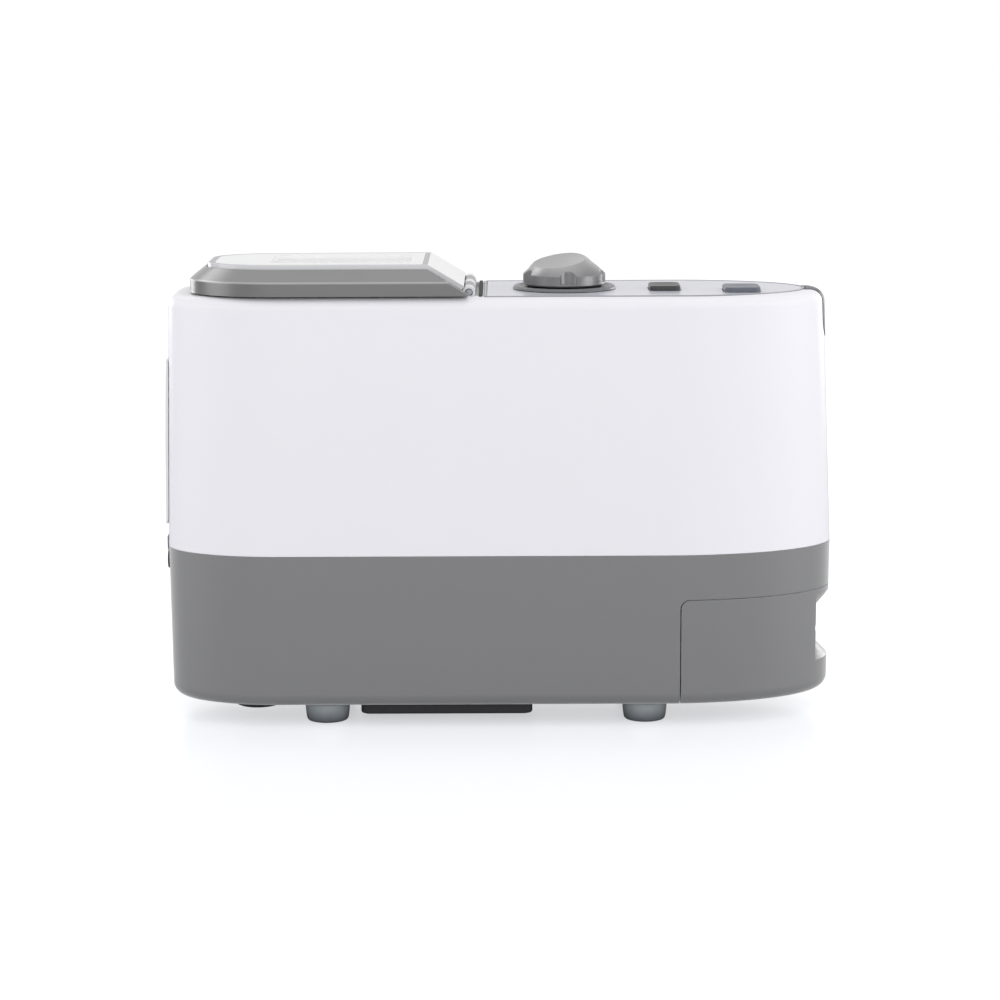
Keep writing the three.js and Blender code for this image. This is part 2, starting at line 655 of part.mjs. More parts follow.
function powerInlet() {
  let body = slotBarX(INLET.face, -136, INLET.z, INLET.half_y, INLET.half_z);
  body = body.add(slotBarX(-148, -146, INLET.z, INLET.half_y - 0.2, INLET.half_z - 0.2));
  body = body.subtract(slotBarX(-160, -140, INLET.z, INLET.half_y - 1.3, INLET.half_z - 1.3));
  for (const y of [-INLET.pin_y, INLET.pin_y]) body = body.subtract(barX(-145, -130, y, INLET.z, INLET.pin + GAP, 12));
  return body;
}

function inletPin(y) {
  return barX(-150, -132, y, INLET.z, INLET.pin, 10);
}

// Intake filter: a black screw cap with a coin slot, and the cup over it that leads to the pump
function filterCap() {
  const { x, y, radius, bottom, bore, collar } = FILTER;
  const seat = BASE_BOTTOM - GAP;
  const body = turned([
    [0, bottom], [radius - 0.9, bottom], [radius, bottom + 0.8], [radius, seat], [collar, seat],
    [collar, 14], [bore, 14], [bore, bottom + 1.8], [0, bottom + 1.8],
  ], x, y, 22);
  return body.subtract(block(x - 6, x + 6, y - 1, y + 1, 0, bottom + 0.8));
}

function filterHousing() {
  const { x, y, collar } = FILTER;
  const seat = BASE_FLOOR + GAP;
  const cup = turned([
    [0, 18], [collar + 0.6, 18], [collar + 0.6, seat], [12, seat], [12, 21], [2.6, 22], [2.6, 30], [0, 30],
  ], x, y, 18);
  return cup.subtract(drum(x, y, 1.4, 10, 40, 6));
}

// Pump: a steel frame with two uprights, four rubber mounts, two heads and two diaphragms
function pumpFrame() {
  const { x0, x1, y, base, top } = PUMP;
  let body = block(x0, x1, -y, y, base, base + 2.4);
  for (const [a, b] of [[x0, x0 + 2.4], [x1 - 2.4, x1]]) {
    body = body.add(block(a, b, -y, y, base, top));
    body = body.subtract(barX(a - 1, b + 1, 0, PUMP.axis_z, 13, 18));
  }
  for (const x of [-44, -14]) {
    for (const side of [-14, 14]) body = body.add(block(x, x + 8, side - 6, side + 6, base + 2, PUMP.axis_z - 10.3));
  }
  return body;
}

function pumpHead(face, side) {
  const a = side < 0 ? face - 11 : face;
  let body = barX(a, a + 11, 0, PUMP.axis_z, 20, 20);
  const outer = side < 0 ? a : a + 11;
  const tip = outer + side * 8;
  for (const z of [PUMP.axis_z - 9, PUMP.axis_z + 9]) {
    body = body.add(barX(Math.min(outer - 0.5 * side, tip), Math.max(outer - 0.5 * side, tip), 0, z, 2.5, 10));
  }
  return body;
}

// Diaphragm: a rubber disc on an upright's inner face, with a boss towards the armature
function diaphragm(face, side) {
  const disc = barX(Math.min(face, face + side * 1.6), Math.max(face, face + side * 1.6), 0, PUMP.axis_z, 16, 18);
  const boss = barX(Math.min(face, face + side * 3.4), Math.max(face, face + side * 3.4), 0, PUMP.axis_z, 9, 12);
  return disc.add(boss);
}

// Armature: the bar that swings between the coils, with a magnet at each gap
function pumpArmature() {
  let body = block(-52, 2, -3, 3, PUMP.axis_z - 6, PUMP.axis_z + 6);
  for (const x of [-37, -13]) body = body.add(block(x - 6, x + 6, -4.5, 4.5, PUMP.axis_z - 9, PUMP.axis_z + 9));
  return body;
}

// Stator: a U of laminations beside the armature
function statorCore(side) {
  const y0 = side < 0 ? -22 : 6;
  const leg_y = side < 0 ? -18 : 6;
  const z0 = PUMP.axis_z - 10;
  const z1 = PUMP.axis_z + 10;
  const spine = side < 0 ? block(-44, -6, y0, y0 + 5, z0, z1) : block(-44, -6, 17, 22, z0, z1);
  return spine.add(block(-44, -33, leg_y, leg_y + 12, z0, z1)).add(block(-17, -6, leg_y, leg_y + 12, z0, z1));
}

function statorCoil(side) {
  const middle = side * 19.5;
  const wound = block(-31.5, -18.5, middle - 6, middle + 6, PUMP.axis_z - 13.5, PUMP.axis_z + 13.5);
  return wound.subtract(block(-50, 0, middle - 2.8, middle + 2.8, PUMP.axis_z - 10.3, PUMP.axis_z + 10.3));
}

// Rubber mount: two waisted buffers on one strip, which stands on the pump compartment cover
function pumpMount(x) {
  const low = BOTTOM_COVER.floor + GAP;
  const high = PUMP.base - GAP;
  const waist = (low + high) / 2;
  const buffers = [-20, 20].map((y) => turned([
    [0, low], [4.4, low], [4.4, low + 3], [3.4, waist], [4.4, high - 3], [4.4, high], [0, high],
  ], x, y, 8));
  return join(...buffers, block(x - 3, x + 3, -20, 20, low, low + 1.6));
}

// Distributor: a geared motor turns a ported disc under a cap with four outlets
function distributorMotor() {
  const { x, radius } = DISTRIBUTOR;
  const can = turned([[0, 15.9], [radius - 2, 15.9], [radius - 1, 17], [radius - 1, 33], [3.2, 33], [3.2, 27], [0, 27]],
    x, 0, 24);
  return can;
}

function distributorRotor() {
  const { x } = DISTRIBUTOR;
  const disc = turned([[0, 27.4], [2.8, 27.4], [2.8, 37.4], [14.6, 37.4], [14.6, 41.4], [0, 41.4]], x, 0, 24);
  return disc.subtract(plate(slotRing(x + 9, 0, 2.4, 4.2), 30, 50));
}

function distributorBody() {
  const { x, radius } = DISTRIBUTOR;
  let body = turned([
    [3.6, 33.3], [radius, 33.3], [radius, 46.4], [radius - 2, 48.4], [0, 48.4], [0, 42], [15.2, 42], [15.2, 36.8],
    [3.6, 36.8],
  ], x, 0, 20);
  for (const y of nippleRows()) body = body.add(drum(x + 8, y, 2.3, 48, 54, 8));
  return body.add(barX(x - radius - 8, x - radius + 2, 0, 41, 2.3, 10));
}

function airTubes() {
  const rise = DISTRIBUTOR.x + 8;
  return nippleRows().map((y) => hose([
    [rise, y, 54.3], [rise, y, 58], [rise + 9, y, 64], [rise + 17, y, 57], [rise + 18.5, y, 48],
    [rise + 22, y, 41], [rise + 25.5, y, SOCKET.z], [121.6, y, SOCKET.z],
  ], 2.4, 12));
}

// Transformer: a laminated core with its varnished winding standing out on both sides
function transformer() {
  const core = block(-130, -92, 8, 28, 20, 52);
  const lobes = plate(slotRing(-111, 17, 11, 14.4, 4), 26, 46);
  return core.add(lobes);
}

// Chassis: a folded plate clamped between the case posts, with stand-offs for the main board
function chassisPlate() {
  const z = CHASSIS_Z;
  let body = block(-101, 79, -31, 31, z, z + CHASSIS_THICK);
  for (const [x, y] of CASE_POSTS) {
    const ear = drum(x, y, 4.6, z, z + CHASSIS_THICK, 12);
    body = body.add(ear).add(block(x - 4.6, x + 4.6, Math.min(0, y), Math.max(0, y), z, z + CHASSIS_THICK));
  }
  for (const y of [-31, 29.4]) body = body.add(block(-88, 66, y, y + 1.6, z, z + 9));
  for (const [x, y] of boardPosts()) body = body.add(drum(x, y, 3, z, 97.7, 8));
  body = body.subtract(block(-60, 20, -12, 12, z - 1, z + 5));
  for (const [x, y] of CASE_POSTS) body = body.subtract(drum(x, y, 2, z - 1, z + 5, 8));
  return body;
}

function boardPosts() {
  return [[-82, 22], [-82, -22], [60, 22], [60, -22]];
}

function mainBoard() {
  const z = 98;
  let body = block(-87, 65, -26, 26, z, z + 1.6);
  for (const [x, y, r, h] of [[-60, 10, 8, 24], [-40, 10, 8, 24], [-20, 14, 5, 14], [38, -14, 5, 12]]) {
    body = body.add(drum(x, y, r, z + 1, z + h, 12));
  }
  for (const [x, y, a, b, h] of [[-66, -12, 12, 8, 20], [0, -8, 11, 11, 4], [24, 10, 8, 5, 10], [48, 6, 6, 9, 9]]) {
    body = body.add(block(x - a, x + a, y - b, y + b, z + 1, z + h));
  }
  return body;
}

function keyBoard() {
  const z = KEY_BOARD_Z;
  let body = block(4, 128, -16, 16, z, z + 1.6).add(block(4, 106, -30, 30, z, z + 1.6));
  body = body.add(drum(54, 10, 5.5, z, z + 7, 16));
  for (const [x, y] of Object.values(KEYS)) {
    body = body.add(block(x - 3, x + 3, y - 3, y + 3, z, z + 5)).add(drum(x, y, 1.7, z, z + 6.2, 10));
  }
  return body;
}

function knobEncoder() {
  const z = KEY_BOARD_Z + 1.6 + GAP;
  const body = block(KNOB.x - 7, KNOB.x + 7, -7, 7, z, 193.4).add(drum(KNOB.x, 0, 4.6, 193, 197.6, 16));
  return body.subtract(drum(KNOB.x, 0, 3.3, z + 2, 200, 16));
}

const WHITE = 0xf4f4f6;
const GREY = 0x8c8c8c;
const BLACK = 0x2e2e30;
const STEEL = 0xb8babd;
const RUBBER = 0x5c6266;
const BOARD = 0x2c6b3f;
const COPPER = 0xa9683a;

addPart('upper_housing', upperHousing(), WHITE, 0.35);
addPart('lower_housing', lowerHousing(), GREY, 0.5);
addPart('front_port_cover', portCover(), GREY, 0.5);
addPart('hose_socket', hoseSocket(), 0x4a4c50, 0.45);
for (const [name, [x, y]] of Object.entries(FEET)) addPart(name, footSolid(x, y), RUBBER, 0.8);
CASE_POSTS.forEach(([x, y], i) => addPart(`case_screw_${i + 1}`, caseScrew(x, y), STEEL, 0.35, 1));
addPart('pump_bottom_cover', bottomCover(), BLACK, 0.6);
addPart('intake_filter_cap', filterCap(), BLACK, 0.6);
addPart('filter_housing', filterHousing(), 0x777a7e, 0.55);

addPart('rear_vent_cover', rearVentCover(), 0xd2d3d6, 0.45);
addPart('rear_catch', rearCatch(), 0xb9babd, 0.45);
addPart('power_inlet', powerInlet(), BLACK, 0.5);
addPart('inlet_pin_near', inletPin(-INLET.pin_y), STEEL, 0.3, 1);
addPart('inlet_pin_far', inletPin(INLET.pin_y), STEEL, 0.3, 1);

addPart('control_panel', controlPanel(), 0xe6e6ee, 0.3);
addPart('panel_trim', panelTrim(), 0xb4b5b8, 0.4);
addPart('front_trim_strip', frontTrimStrip(), 0xa9aaad, 0.4);
addPart('knob_escutcheon', turned([
  [8, 197.5], [ESCUTCHEON_RADIUS, 197.5], [ESCUTCHEON_RADIUS - 0.8, 198.8], [20.8, 198.8], [20.3, 198.2], [8, 198.2],
], KNOB.x, 0, 32), 0x9a9b9e, 0.4);
addPart('pressure_knob', pressureKnob(), 0x9b9b9c, 0.35);
addPart('knob_spindle', drum(KNOB.x, 0, 3, 188.4, 208.1, 16), STEEL, 0.3, 1);
addPart('knob_encoder', knobEncoder(), 0x3a3d42, 0.5);
addPart('key_board', keyBoard(), BOARD, 0.5);
for (const [name, place] of Object.entries(KEYS)) addPart(name, keyCap(...place), 0x4b4c52, 0.4);

addPart('display_bezel', displayBezel(), 0x8f8f8f, 0.4);
addPart('display_window', displayWindow(), 0xf2f2f4, 0.15);
addPart('lcd_module', lcdModule(), 0xb9c4b4, 0.3);
addPart('display_back_cover', displayBackCover(), 0x8f8f8f, 0.5);
addPart('hinge_bracket', hingeBracket(), 0xc4c5c8, 0.45);
addPart('hinge_pin', barY(HINGE.x, -HINGE.half, HINGE.half, HINGE.z, HINGE.pin, 12), STEEL, 0.3, 1);

addPart('pump_frame', pumpFrame(), STEEL, 0.4, 1);
addPart('pump_head_rear', pumpHead(PUMP.x0 - GAP, -1), 0x9ea1a5, 0.5);
addPart('pump_head_front', pumpHead(PUMP.x1 + GAP, 1), 0x9ea1a5, 0.5);
addPart('diaphragm_rear', diaphragm(PUMP.x0 + 2.7, 1), 0x26272a, 0.8);
addPart('diaphragm_front', diaphragm(PUMP.x1 - 2.7, -1), 0x26272a, 0.8);
addPart('pump_armature', pumpArmature(), 0x8a8d92, 0.4, 1);
addPart('stator_core_near', statorCore(-1), 0x6d7075, 0.5, 1);
addPart('stator_core_far', statorCore(1), 0x6d7075, 0.5, 1);
addPart('stator_coil_near', statorCoil(-1), COPPER, 0.4, 0.6);
addPart('stator_coil_far', statorCoil(1), COPPER, 0.4, 0.6);
addPart('pump_mount_rear', pumpMount(-48), RUBBER, 0.85);
addPart('pump_mount_front', pumpMount(-3), RUBBER, 0.85);

addPart('distributor_motor', distributorMotor(), 0xa7aaae, 0.4, 1);
addPart('distributor_rotor', distributorRotor(), 0xe4e4e2, 0.5);
addPart('distributor_body', distributorBody(), 0x5d6166, 0.5);
airTubes().forEach((tube, i) => addPart(`air_tube_${i + 1}`, tube, 0xd9dcde, 0.4));
addPart('supply_tube', hose([
  [29.7, 0, 49], [34, 0, 49], [40, 0, 47], [46, 0, 43], [51, 0, 41], [55.6, 0, 41],
], 2.4, 12), 0xd9dcde, 0.4);
addPart('intake_tube', hose([
  [FILTER.x, FILTER.y, 30.3], [FILTER.x, FILTER.y + 0.6, 37], [-110.5, -17, 46], [-100, -8, 51], [-90, -1, 50],
  [-79.7, 0, 49],
], 2.4, 14), 0xd9dcde, 0.4);

addPart('transformer', transformer(), 0x6d7075, 0.5, 1);
addPart('chassis_plate', chassisPlate(), 0xc0c2c5, 0.4, 1);
addPart('main_board', mainBoard(), BOARD, 0.5);

export default group;
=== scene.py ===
import math

import bpy
import numpy as np
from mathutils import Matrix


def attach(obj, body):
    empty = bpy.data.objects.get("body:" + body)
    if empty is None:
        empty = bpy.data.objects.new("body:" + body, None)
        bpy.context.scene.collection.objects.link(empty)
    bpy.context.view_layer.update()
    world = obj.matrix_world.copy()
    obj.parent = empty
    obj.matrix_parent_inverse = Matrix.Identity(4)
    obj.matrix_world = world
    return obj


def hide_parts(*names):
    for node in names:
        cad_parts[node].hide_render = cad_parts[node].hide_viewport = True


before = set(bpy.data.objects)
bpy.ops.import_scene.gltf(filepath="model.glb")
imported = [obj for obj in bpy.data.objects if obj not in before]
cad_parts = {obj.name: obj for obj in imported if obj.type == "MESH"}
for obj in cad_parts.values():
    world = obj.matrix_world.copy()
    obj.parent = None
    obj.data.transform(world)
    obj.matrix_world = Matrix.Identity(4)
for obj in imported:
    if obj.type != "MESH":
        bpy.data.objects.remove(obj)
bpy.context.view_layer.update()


# Lower housing: the tray that carries the pump, injection-moulded in ABS that is grey all
# through. The flanks are straight, the nose is a half ellipse, each rear corner a quarter one,
# and the walls lean out a little from a rounded bottom edge so that the tray leaves its mould.
# All places below count from a datum that lies a little ahead of the origin, above the table.
MM = 0.001
DATUM = (0.6, 0, 1)
SEAM = 79
BASE_BOTTOM = 8.2
BASE_DRAFT = 0.012
BOTTOM_RADIUS = 6
WALL = 2.6
HALF_DEPTH = 45
NOSE_X = 75.7
NOSE_REACH = 79.3
NOSE_LEAN = 1.36
TAIL_X = -101.3
TAIL_Y = 12
TAIL_REACH = 53.6
TAIL_LEAN = 0.68
PORT_COVER_X = 82.6
PORT_COVER_TOP = 57.9
PARTING = 0.3
FILTER_X = -113.5
FILTER_Y = -20.5
FEET = {"rear_left": (-80.9, 28), "rear_right": (-80.9, -28),
        "front_left": (66.8, 28), "front_right": (66.8, -28)}
POSTS = ((-96, 37), (-96, -37), (50, 37), (50, -37))


def linear(hex_colour):
    """An sRGB hex value as linear red, green, blue and alpha."""
    shares = [int(hex_colour[i:i + 2], 16) / 255 for i in (1, 3, 5)]
    return [s / 12.92 if s <= 0.04045 else ((s + 0.055) / 1.055) ** 2.4 for s in shares] + [1.0]


def add(tree, kind, links=None, **settings):
    """One node with its settings. links maps a socket to a value or to another node's output."""
    made = tree.nodes.new(kind)
    for name, value in settings.items():
        setattr(made, name, value)
    for key, value in (links or {}).items():
        if isinstance(value, bpy.types.NodeSocket):
            tree.links.new(value, made.inputs[key])
        else:
            made.inputs[key].default_value = value
    return made


def finish(name, colour, roughness, ior=1.53, metallic=0.0):
    """A material on one Principled shader: its node tree and the shader come back with it."""
    material = bpy.data.materials.new(name)
    material.use_nodes = True
    tree = material.node_tree
    shader = tree.nodes["Principled BSDF"]
    shader.inputs["Base Color"].default_value = linear(colour)
    shader.inputs["Roughness"].default_value = roughness
    shader.inputs["Metallic"].default_value = metallic
    if not metallic:
        shader.inputs["IOR"].default_value = ior
    return material, tree, shader


def moulded(name, colour, roughness, grain, depth, ior=1.53, sway=0.05, flow=0.03):
    """Moulded plastic: a grain and its depth in mm, and faint flow marks from the gate."""
    material, tree, shader = finish(name, colour, roughness, ior)
    place = add(tree, "ShaderNodeTexCoord").outputs["Object"]
    clouds = add(tree, "ShaderNodeTexNoise", {"Vector": place, "Scale": 1 / (38 * MM), "Detail": 3.0})
    pits = add(tree, "ShaderNodeTexNoise", {"Vector": place, "Scale": 1 / (grain * MM), "Detail": 2.0})
    gloss = add(tree, "ShaderNodeMapRange", {
        "Value": clouds.outputs["Fac"], "From Min": 0.0, "From Max": 1.0,
        "To Min": roughness - sway, "To Max": roughness + sway})
    tree.links.new(gloss.outputs["Result"], shader.inputs["Roughness"])
    deep = [value * (1 - flow) for value in linear(colour)[:3]] + [1.0]
    tint = add(tree, "ShaderNodeMix", {
        "Factor": clouds.outputs["Fac"], 6: linear(colour), 7: deep}, data_type="RGBA")
    tree.links.new(tint.outputs[2], shader.inputs["Base Color"])
    bump = add(tree, "ShaderNodeBump", {
        "Height": pits.outputs["Fac"], "Strength": 1.0, "Distance": depth * MM})
    tree.links.new(bump.outputs["Normal"], shader.inputs["Normal"])
    return material


def arc(cx, cy, rx, ry, start, end, steps):
    """Points on an ellipse's arc in mm, both ends included; the angles are in degrees."""
    angles = np.radians(np.linspace(start, end, steps + 1))
    return np.column_stack([cx + rx * np.cos(angles), cy + ry * np.sin(angles)])


def case_outline(inset, lean=0.0):
    """The casing's plan, drawn in by an inset and by the cover's lean, which is larger at the nose."""
    half = HALF_DEPTH - inset - lean
    nose = NOSE_REACH - inset - NOSE_LEAN * lean
    tail = TAIL_REACH - inset - TAIL_LEAN * lean
    return np.vstack([
        arc(NOSE_X, 0, nose, half, -90, 90, 96),
        arc(TAIL_X, TAIL_Y, tail, half - TAIL_Y, 90, 180, 32),
        arc(TAIL_X, -TAIL_Y, tail, half - TAIL_Y, 180, 270, 32)])


def solid(name, corners, faces):
    """A mesh object from corners in mm, counted from the datum."""
    mesh = bpy.data.meshes.new(name)
    mesh.from_pydata(((np.asarray(corners, float) + DATUM) * MM).tolist(), [], faces)
    piece = bpy.data.objects.new(name, mesh)
    bpy.context.scene.collection.objects.link(piece)
    return piece


def loft(name, rings):
    """A closed form over rings of as many points each, given as (x, y, z) in mm."""
    count = len(rings[0])
    faces = []
    for low in range(0, (len(rings) - 1) * count, count):
        faces += [(low + i, low + (i + 1) % count, low + count + (i + 1) % count, low + count + i)
                  for i in range(count)]
    faces.append(tuple(range(count))[::-1])
    faces.append(tuple(range((len(rings) - 1) * count, len(rings) * count)))
    return solid(name, np.vstack(rings), faces)


def skin(name, levels, axis="z"):
    """A closed form over level outlines of as many points each: [(outline, height), ...]."""
    turn = {"z": 0, "x": 1, "y": 2}[axis]
    return loft(name, [np.roll(np.column_stack([ring, np.full(len(ring), z)]), turn, axis=1)
                       for ring, z in levels])


def prism(name, outline, low, high, axis="z"):
    """A flat outline raised along an axis: (x, y) along z, (y, z) along x, (z, x) along y."""
    return skin(name, [(np.asarray(outline, float), low), (np.asarray(outline, float), high)], axis)


def block(name, x0, x1, y0, y1, z0, z1):
    return prism(name, [(x0, y0), (x1, y0), (x1, y1), (x0, y1)], z0, z1)


def drum(name, a, b, radius, low, high, axis="z", sides=48):
    """A round bar; a and b are its centre in the outline's two directions."""
    return prism(name, arc(a, b, radius, radius, 0, 360 - 360 / sides, sides - 1), low, high, axis)


def settle(piece):
    """Applies the piece's modifiers to its mesh."""
    seen = piece.evaluated_get(bpy.context.evaluated_depsgraph_get())
    settled = bpy.data.meshes.new_from_object(seen)
    piece.modifiers.clear()
    piece.data = settled
    return piece


def shape(piece, operation, *tools):
    """Cuts the tools from the piece, joins them to it, or keeps what they share. It uses them up."""
    for tool in tools:
        step = piece.modifiers.new(operation.lower(), "BOOLEAN")
        step.operation = operation
        step.solver = "MANIFOLD"
        step.object = tool
    settle(piece)
    for tool in tools:
        bpy.data.objects.remove(tool)
    return piece


def cut(piece, *tools):
    return shape(piece, "DIFFERENCE", *tools)


def join(piece, *tools):
    return shape(piece, "UNION", *tools)


def smooth(piece, radius=0.4, angle=32, segments=2, keep_sharp=70):
    """Rounds the edges to a radius in mm and shades the skin smooth, with flats kept flat."""
    if radius:
        edge = piece.modifiers.new("rounded edges", "BEVEL")
        edge.width = radius * MM
        edge.segments = segments
        edge.limit_method = "ANGLE"
        edge.angle_limit = math.radians(angle)
        edge.use_clamp_overlap = True
        settle(piece)
    piece.data.shade_smooth()
    piece.data.set_sharp_from_angle(angle=math.radians(keep_sharp))
    flats = piece.modifiers.new("flats", "WEIGHTED_NORMAL")
    flats.keep_sharp = True
    return settle(piece)


def fit(piece, material, slot, body, *nodes):
    """Gives a piece its finish, the body it rides on and the CAD nodes that it stands for."""
    piece.data.materials.clear()
    piece.data.materials.append(material)
    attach(piece, body)
    if nodes:
        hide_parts(*nodes)
    return piece


def base_form(name, inset, top):
    """The tray's form, drawn in by an inset."""
    radius = max(BOTTOM_RADIUS - inset, 1.5)
    shoulder = BASE_BOTTOM + inset + radius
    lean = inset + (SEAM - shoulder) * BASE_DRAFT
    levels = []
    for angle in np.radians(np.linspace(90, 0, 9)):
        inward = lean + radius * (1 - math.cos(angle))
        levels.append((case_outline(inward), shoulder - radius * math.sin(angle)))
    levels.append((case_outline(inset), top))
    return skin(name, levels)


def port_region(name, margin):
    """The corner of the base that the port cover takes, grown or drawn in by a margin."""
    x = PORT_COVER_X - margin
    z = PORT_COVER_TOP + margin
    radius = 4 + margin
    corner = arc(z - radius, x + radius, radius, radius, -90, 0, 8)
    return prism(name, np.vstack([[(0, x)], corner, [(z, 170), (0, 170)]]), -60, 60, "y")


# Grey ABS, moulded against a spark-eroded tool: an even, dull skin with a fine grain. The real
# grain is about 0.1 mm; it is drawn at 0.9 mm so that it shows.
grey_abs = moulded("grey_abs_eroded_grain", "#7E7E7F", 0.38, 0.9, 0.012)
grey_shader = grey_abs.node_tree.nodes["Principled BSDF"]
grey_shader.inputs["Sheen Weight"].default_value = 1.0
grey_shader.inputs["Sheen Roughness"].default_value = 0.4
grey_shader.inputs["Coat Weight"].default_value = 0.6
grey_shader.inputs["Coat Roughness"].default_value = 0.45

tray = base_form("lower_housing_shell", 0, SEAM - 0.15)
cut(tray, base_form("hollow", WALL, SEAM + 5))
lip = prism("lip", case_outline(WALL + 0.35), 76, 82)
cut(lip, prism("lip_hollow", case_outline(WALL + 1.7), 70, 90))
join(tray, lip)
cut(tray, port_region("port_corner", PARTING))
cut(tray,
    block("pump_opening", -55.2, 4.5, -29, 29, 0, 14),
    drum("filter_opening", FILTER_X, FILTER_Y, 9.6, 0, 14),
    block("catch_notch", -160, -140, -5.3, 5.3, 76.7, 85))
for x, y in FEET.values():
    cut(tray, drum("stem_hole", x, y, 3.3, 0, 19, sides=24))
for x, y in POSTS:
    join(tray, drum("screw_post", x, y, 5, BASE_BOTTOM + 1, 85.7, sides=32))
    cut(tray, drum("screw_shaft", x, y, 3.5, 0, 70, sides=32),
        drum("screw_hole", x, y, 1.9, 60, 90, sides=24))
smooth(tray, 0.35)
fit(tray, grey_abs, "grey_abs", "casing", "lower_housing")


# Pump: two moulded rubber diaphragms in die-cast heads, driven by an armature that swings
# between two coils. It stands on a zinc-plated frame, on rubber buffers in the tray.
def coat(material, *names):
    """Gives CAD nodes a material."""
    for name in names:
        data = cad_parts[name].data
        data.materials.clear()
        data.materials.append(material)


# Zinc-plated sheet steel: bluish and bright, with the fine directional scratches of rolling,
# 0.5 mm apart.
zinc_steel, tree, shader = finish("zinc_plated_steel", "#B9BDC2", 0.34, metallic=1.0)
place = add(tree, "ShaderNodeTexCoord").outputs["Object"]
rolled = add(tree, "ShaderNodeMapping", {"Vector": place, "Scale": (0.04, 1.0, 1.0)})
scratches = add(tree, "ShaderNodeTexNoise", {
    "Vector": rolled.outputs["Vector"], "Scale": 1 / (0.5 * MM), "Detail": 3.0})
spangle = add(tree, "ShaderNodeTexVoronoi", {"Vector": place, "Scale": 1 / (4 * MM)})
gloss = add(tree, "ShaderNodeMapRange", {
    "Value": scratches.outputs["Fac"], "To Min": 0.24, "To Max": 0.46})
tree.links.new(gloss.outputs["Result"], shader.inputs["Roughness"])
tint = add(tree, "ShaderNodeMix", {
    "Factor": spangle.outputs["Distance"], 6: linear("#B9BDC2"), 7: linear("#A9AEB5")}, data_type="RGBA")
tree.links.new(tint.outputs[2], shader.inputs["Base Color"])
bump = add(tree, "ShaderNodeBump", {"Height": scratches.outputs["Fac"], "Distance": 0.004 * MM})
tree.links.new(bump.outputs["Normal"], shader.inputs["Normal"])

# Die-cast aluminium: a pale grey skin, dulled by shot blasting into dimples about 0.6 mm wide.
cast_aluminium, tree, shader = finish("shot_blasted_die_cast_aluminium", "#A9ABAD", 0.5, metallic=1.0)
place = add(tree, "ShaderNodeTexCoord").outputs["Object"]
dimples = add(tree, "ShaderNodeTexVoronoi", {"Vector": place, "Scale": 1 / (0.6 * MM)}, feature="SMOOTH_F1")
bump = add(tree, "ShaderNodeBump", {"Height": dimples.outputs["Distance"], "Distance": 0.03 * MM})
tree.links.new(bump.outputs["Normal"], shader.inputs["Normal"])

# Varnished transformer steel: stacked 0.5 mm sheets, whose edges read as fine level lines
# under a brown-grey varnish.
laminations, tree, shader = finish("varnished_laminations", "#6C6E72", 0.42, metallic=0.6)
place = add(tree, "ShaderNodeTexCoord").outputs["Object"]
sheets = add(tree, "ShaderNodeTexWave", {"Vector": place, "Scale": 1 / (0.5 * MM) / 20, "Distortion": 0.4},
             bands_direction="Z")
tint = add(tree, "ShaderNodeMix", {
    "Factor": sheets.outputs["Fac"], 6: linear("#55565A"), 7: linear("#7C7E82")}, data_type="RGBA")
tree.links.new(tint.outputs[2], shader.inputs["Base Color"])
bump = add(tree, "ShaderNodeBump", {"Height": sheets.outputs["Fac"], "Distance": 0.05 * MM})
tree.links.new(bump.outputs["Normal"], shader.inputs["Normal"])

# Enamelled copper wire, 0.4 mm, wound in level turns: glossy and reddish, with a painted highlight
# along every turn and painted shade between the turns.
copper_winding, tree, shader = finish("enamelled_copper_winding", "#A5622F", 0.3, metallic=0.85)
place = add(tree, "ShaderNodeTexCoord").outputs["Object"]
turns = add(tree, "ShaderNodeTexWave", {"Vector": place, "Scale": 1 / (0.4 * MM) / 20, "Distortion": 0.2},
            bands_direction="Z")
# The turns' wave paints a highlight on each turn and shade between them.
tint = add(tree, "ShaderNodeMix", {
    "Factor": turns.outputs["Fac"], 6: linear("#6B3716"), 7: linear("#B9733B")}, data_type="RGBA")
tree.links.new(tint.outputs[2], shader.inputs["Base Color"])
bump = add(tree, "ShaderNodeBump", {"Height": turns.outputs["Fac"], "Distance": 0.15 * MM})
tree.links.new(bump.outputs["Normal"], shader.inputs["Normal"])

# Black EPDM rubber, compression-moulded: matt, with a dusty bloom in patches about 8 mm wide.
black_rubber, tree, shader = finish("moulded_epdm_rubber", "#232325", 0.75, ior=1.5)
place = add(tree, "ShaderNodeTexCoord").outputs["Object"]
bloom = add(tree, "ShaderNodeTexNoise", {"Vector": place, "Scale": 1 / (8 * MM), "Detail": 5.0})
tint = add(tree, "ShaderNodeMix", {
    "Factor": bloom.outputs["Fac"], 6: linear("#1D1D1F"), 7: linear("#313134")}, data_type="RGBA")
tree.links.new(tint.outputs[2], shader.inputs["Base Color"])
bump = add(tree, "ShaderNodeBump", {"Height": bloom.outputs["Fac"], "Distance": 0.1 * MM})
tree.links.new(bump.outputs["Normal"], shader.inputs["Normal"])

coat(zinc_steel, "pump_frame")
coat(cast_aluminium, "pump_head_rear", "pump_head_front")
coat(laminations, "pump_armature", "stator_core_near", "stator_core_far")
coat(copper_winding, "stator_coil_near", "stator_coil_far")
coat(black_rubber, "diaphragm_rear", "diaphragm_front", "pump_mount_rear", "pump_mount_front")


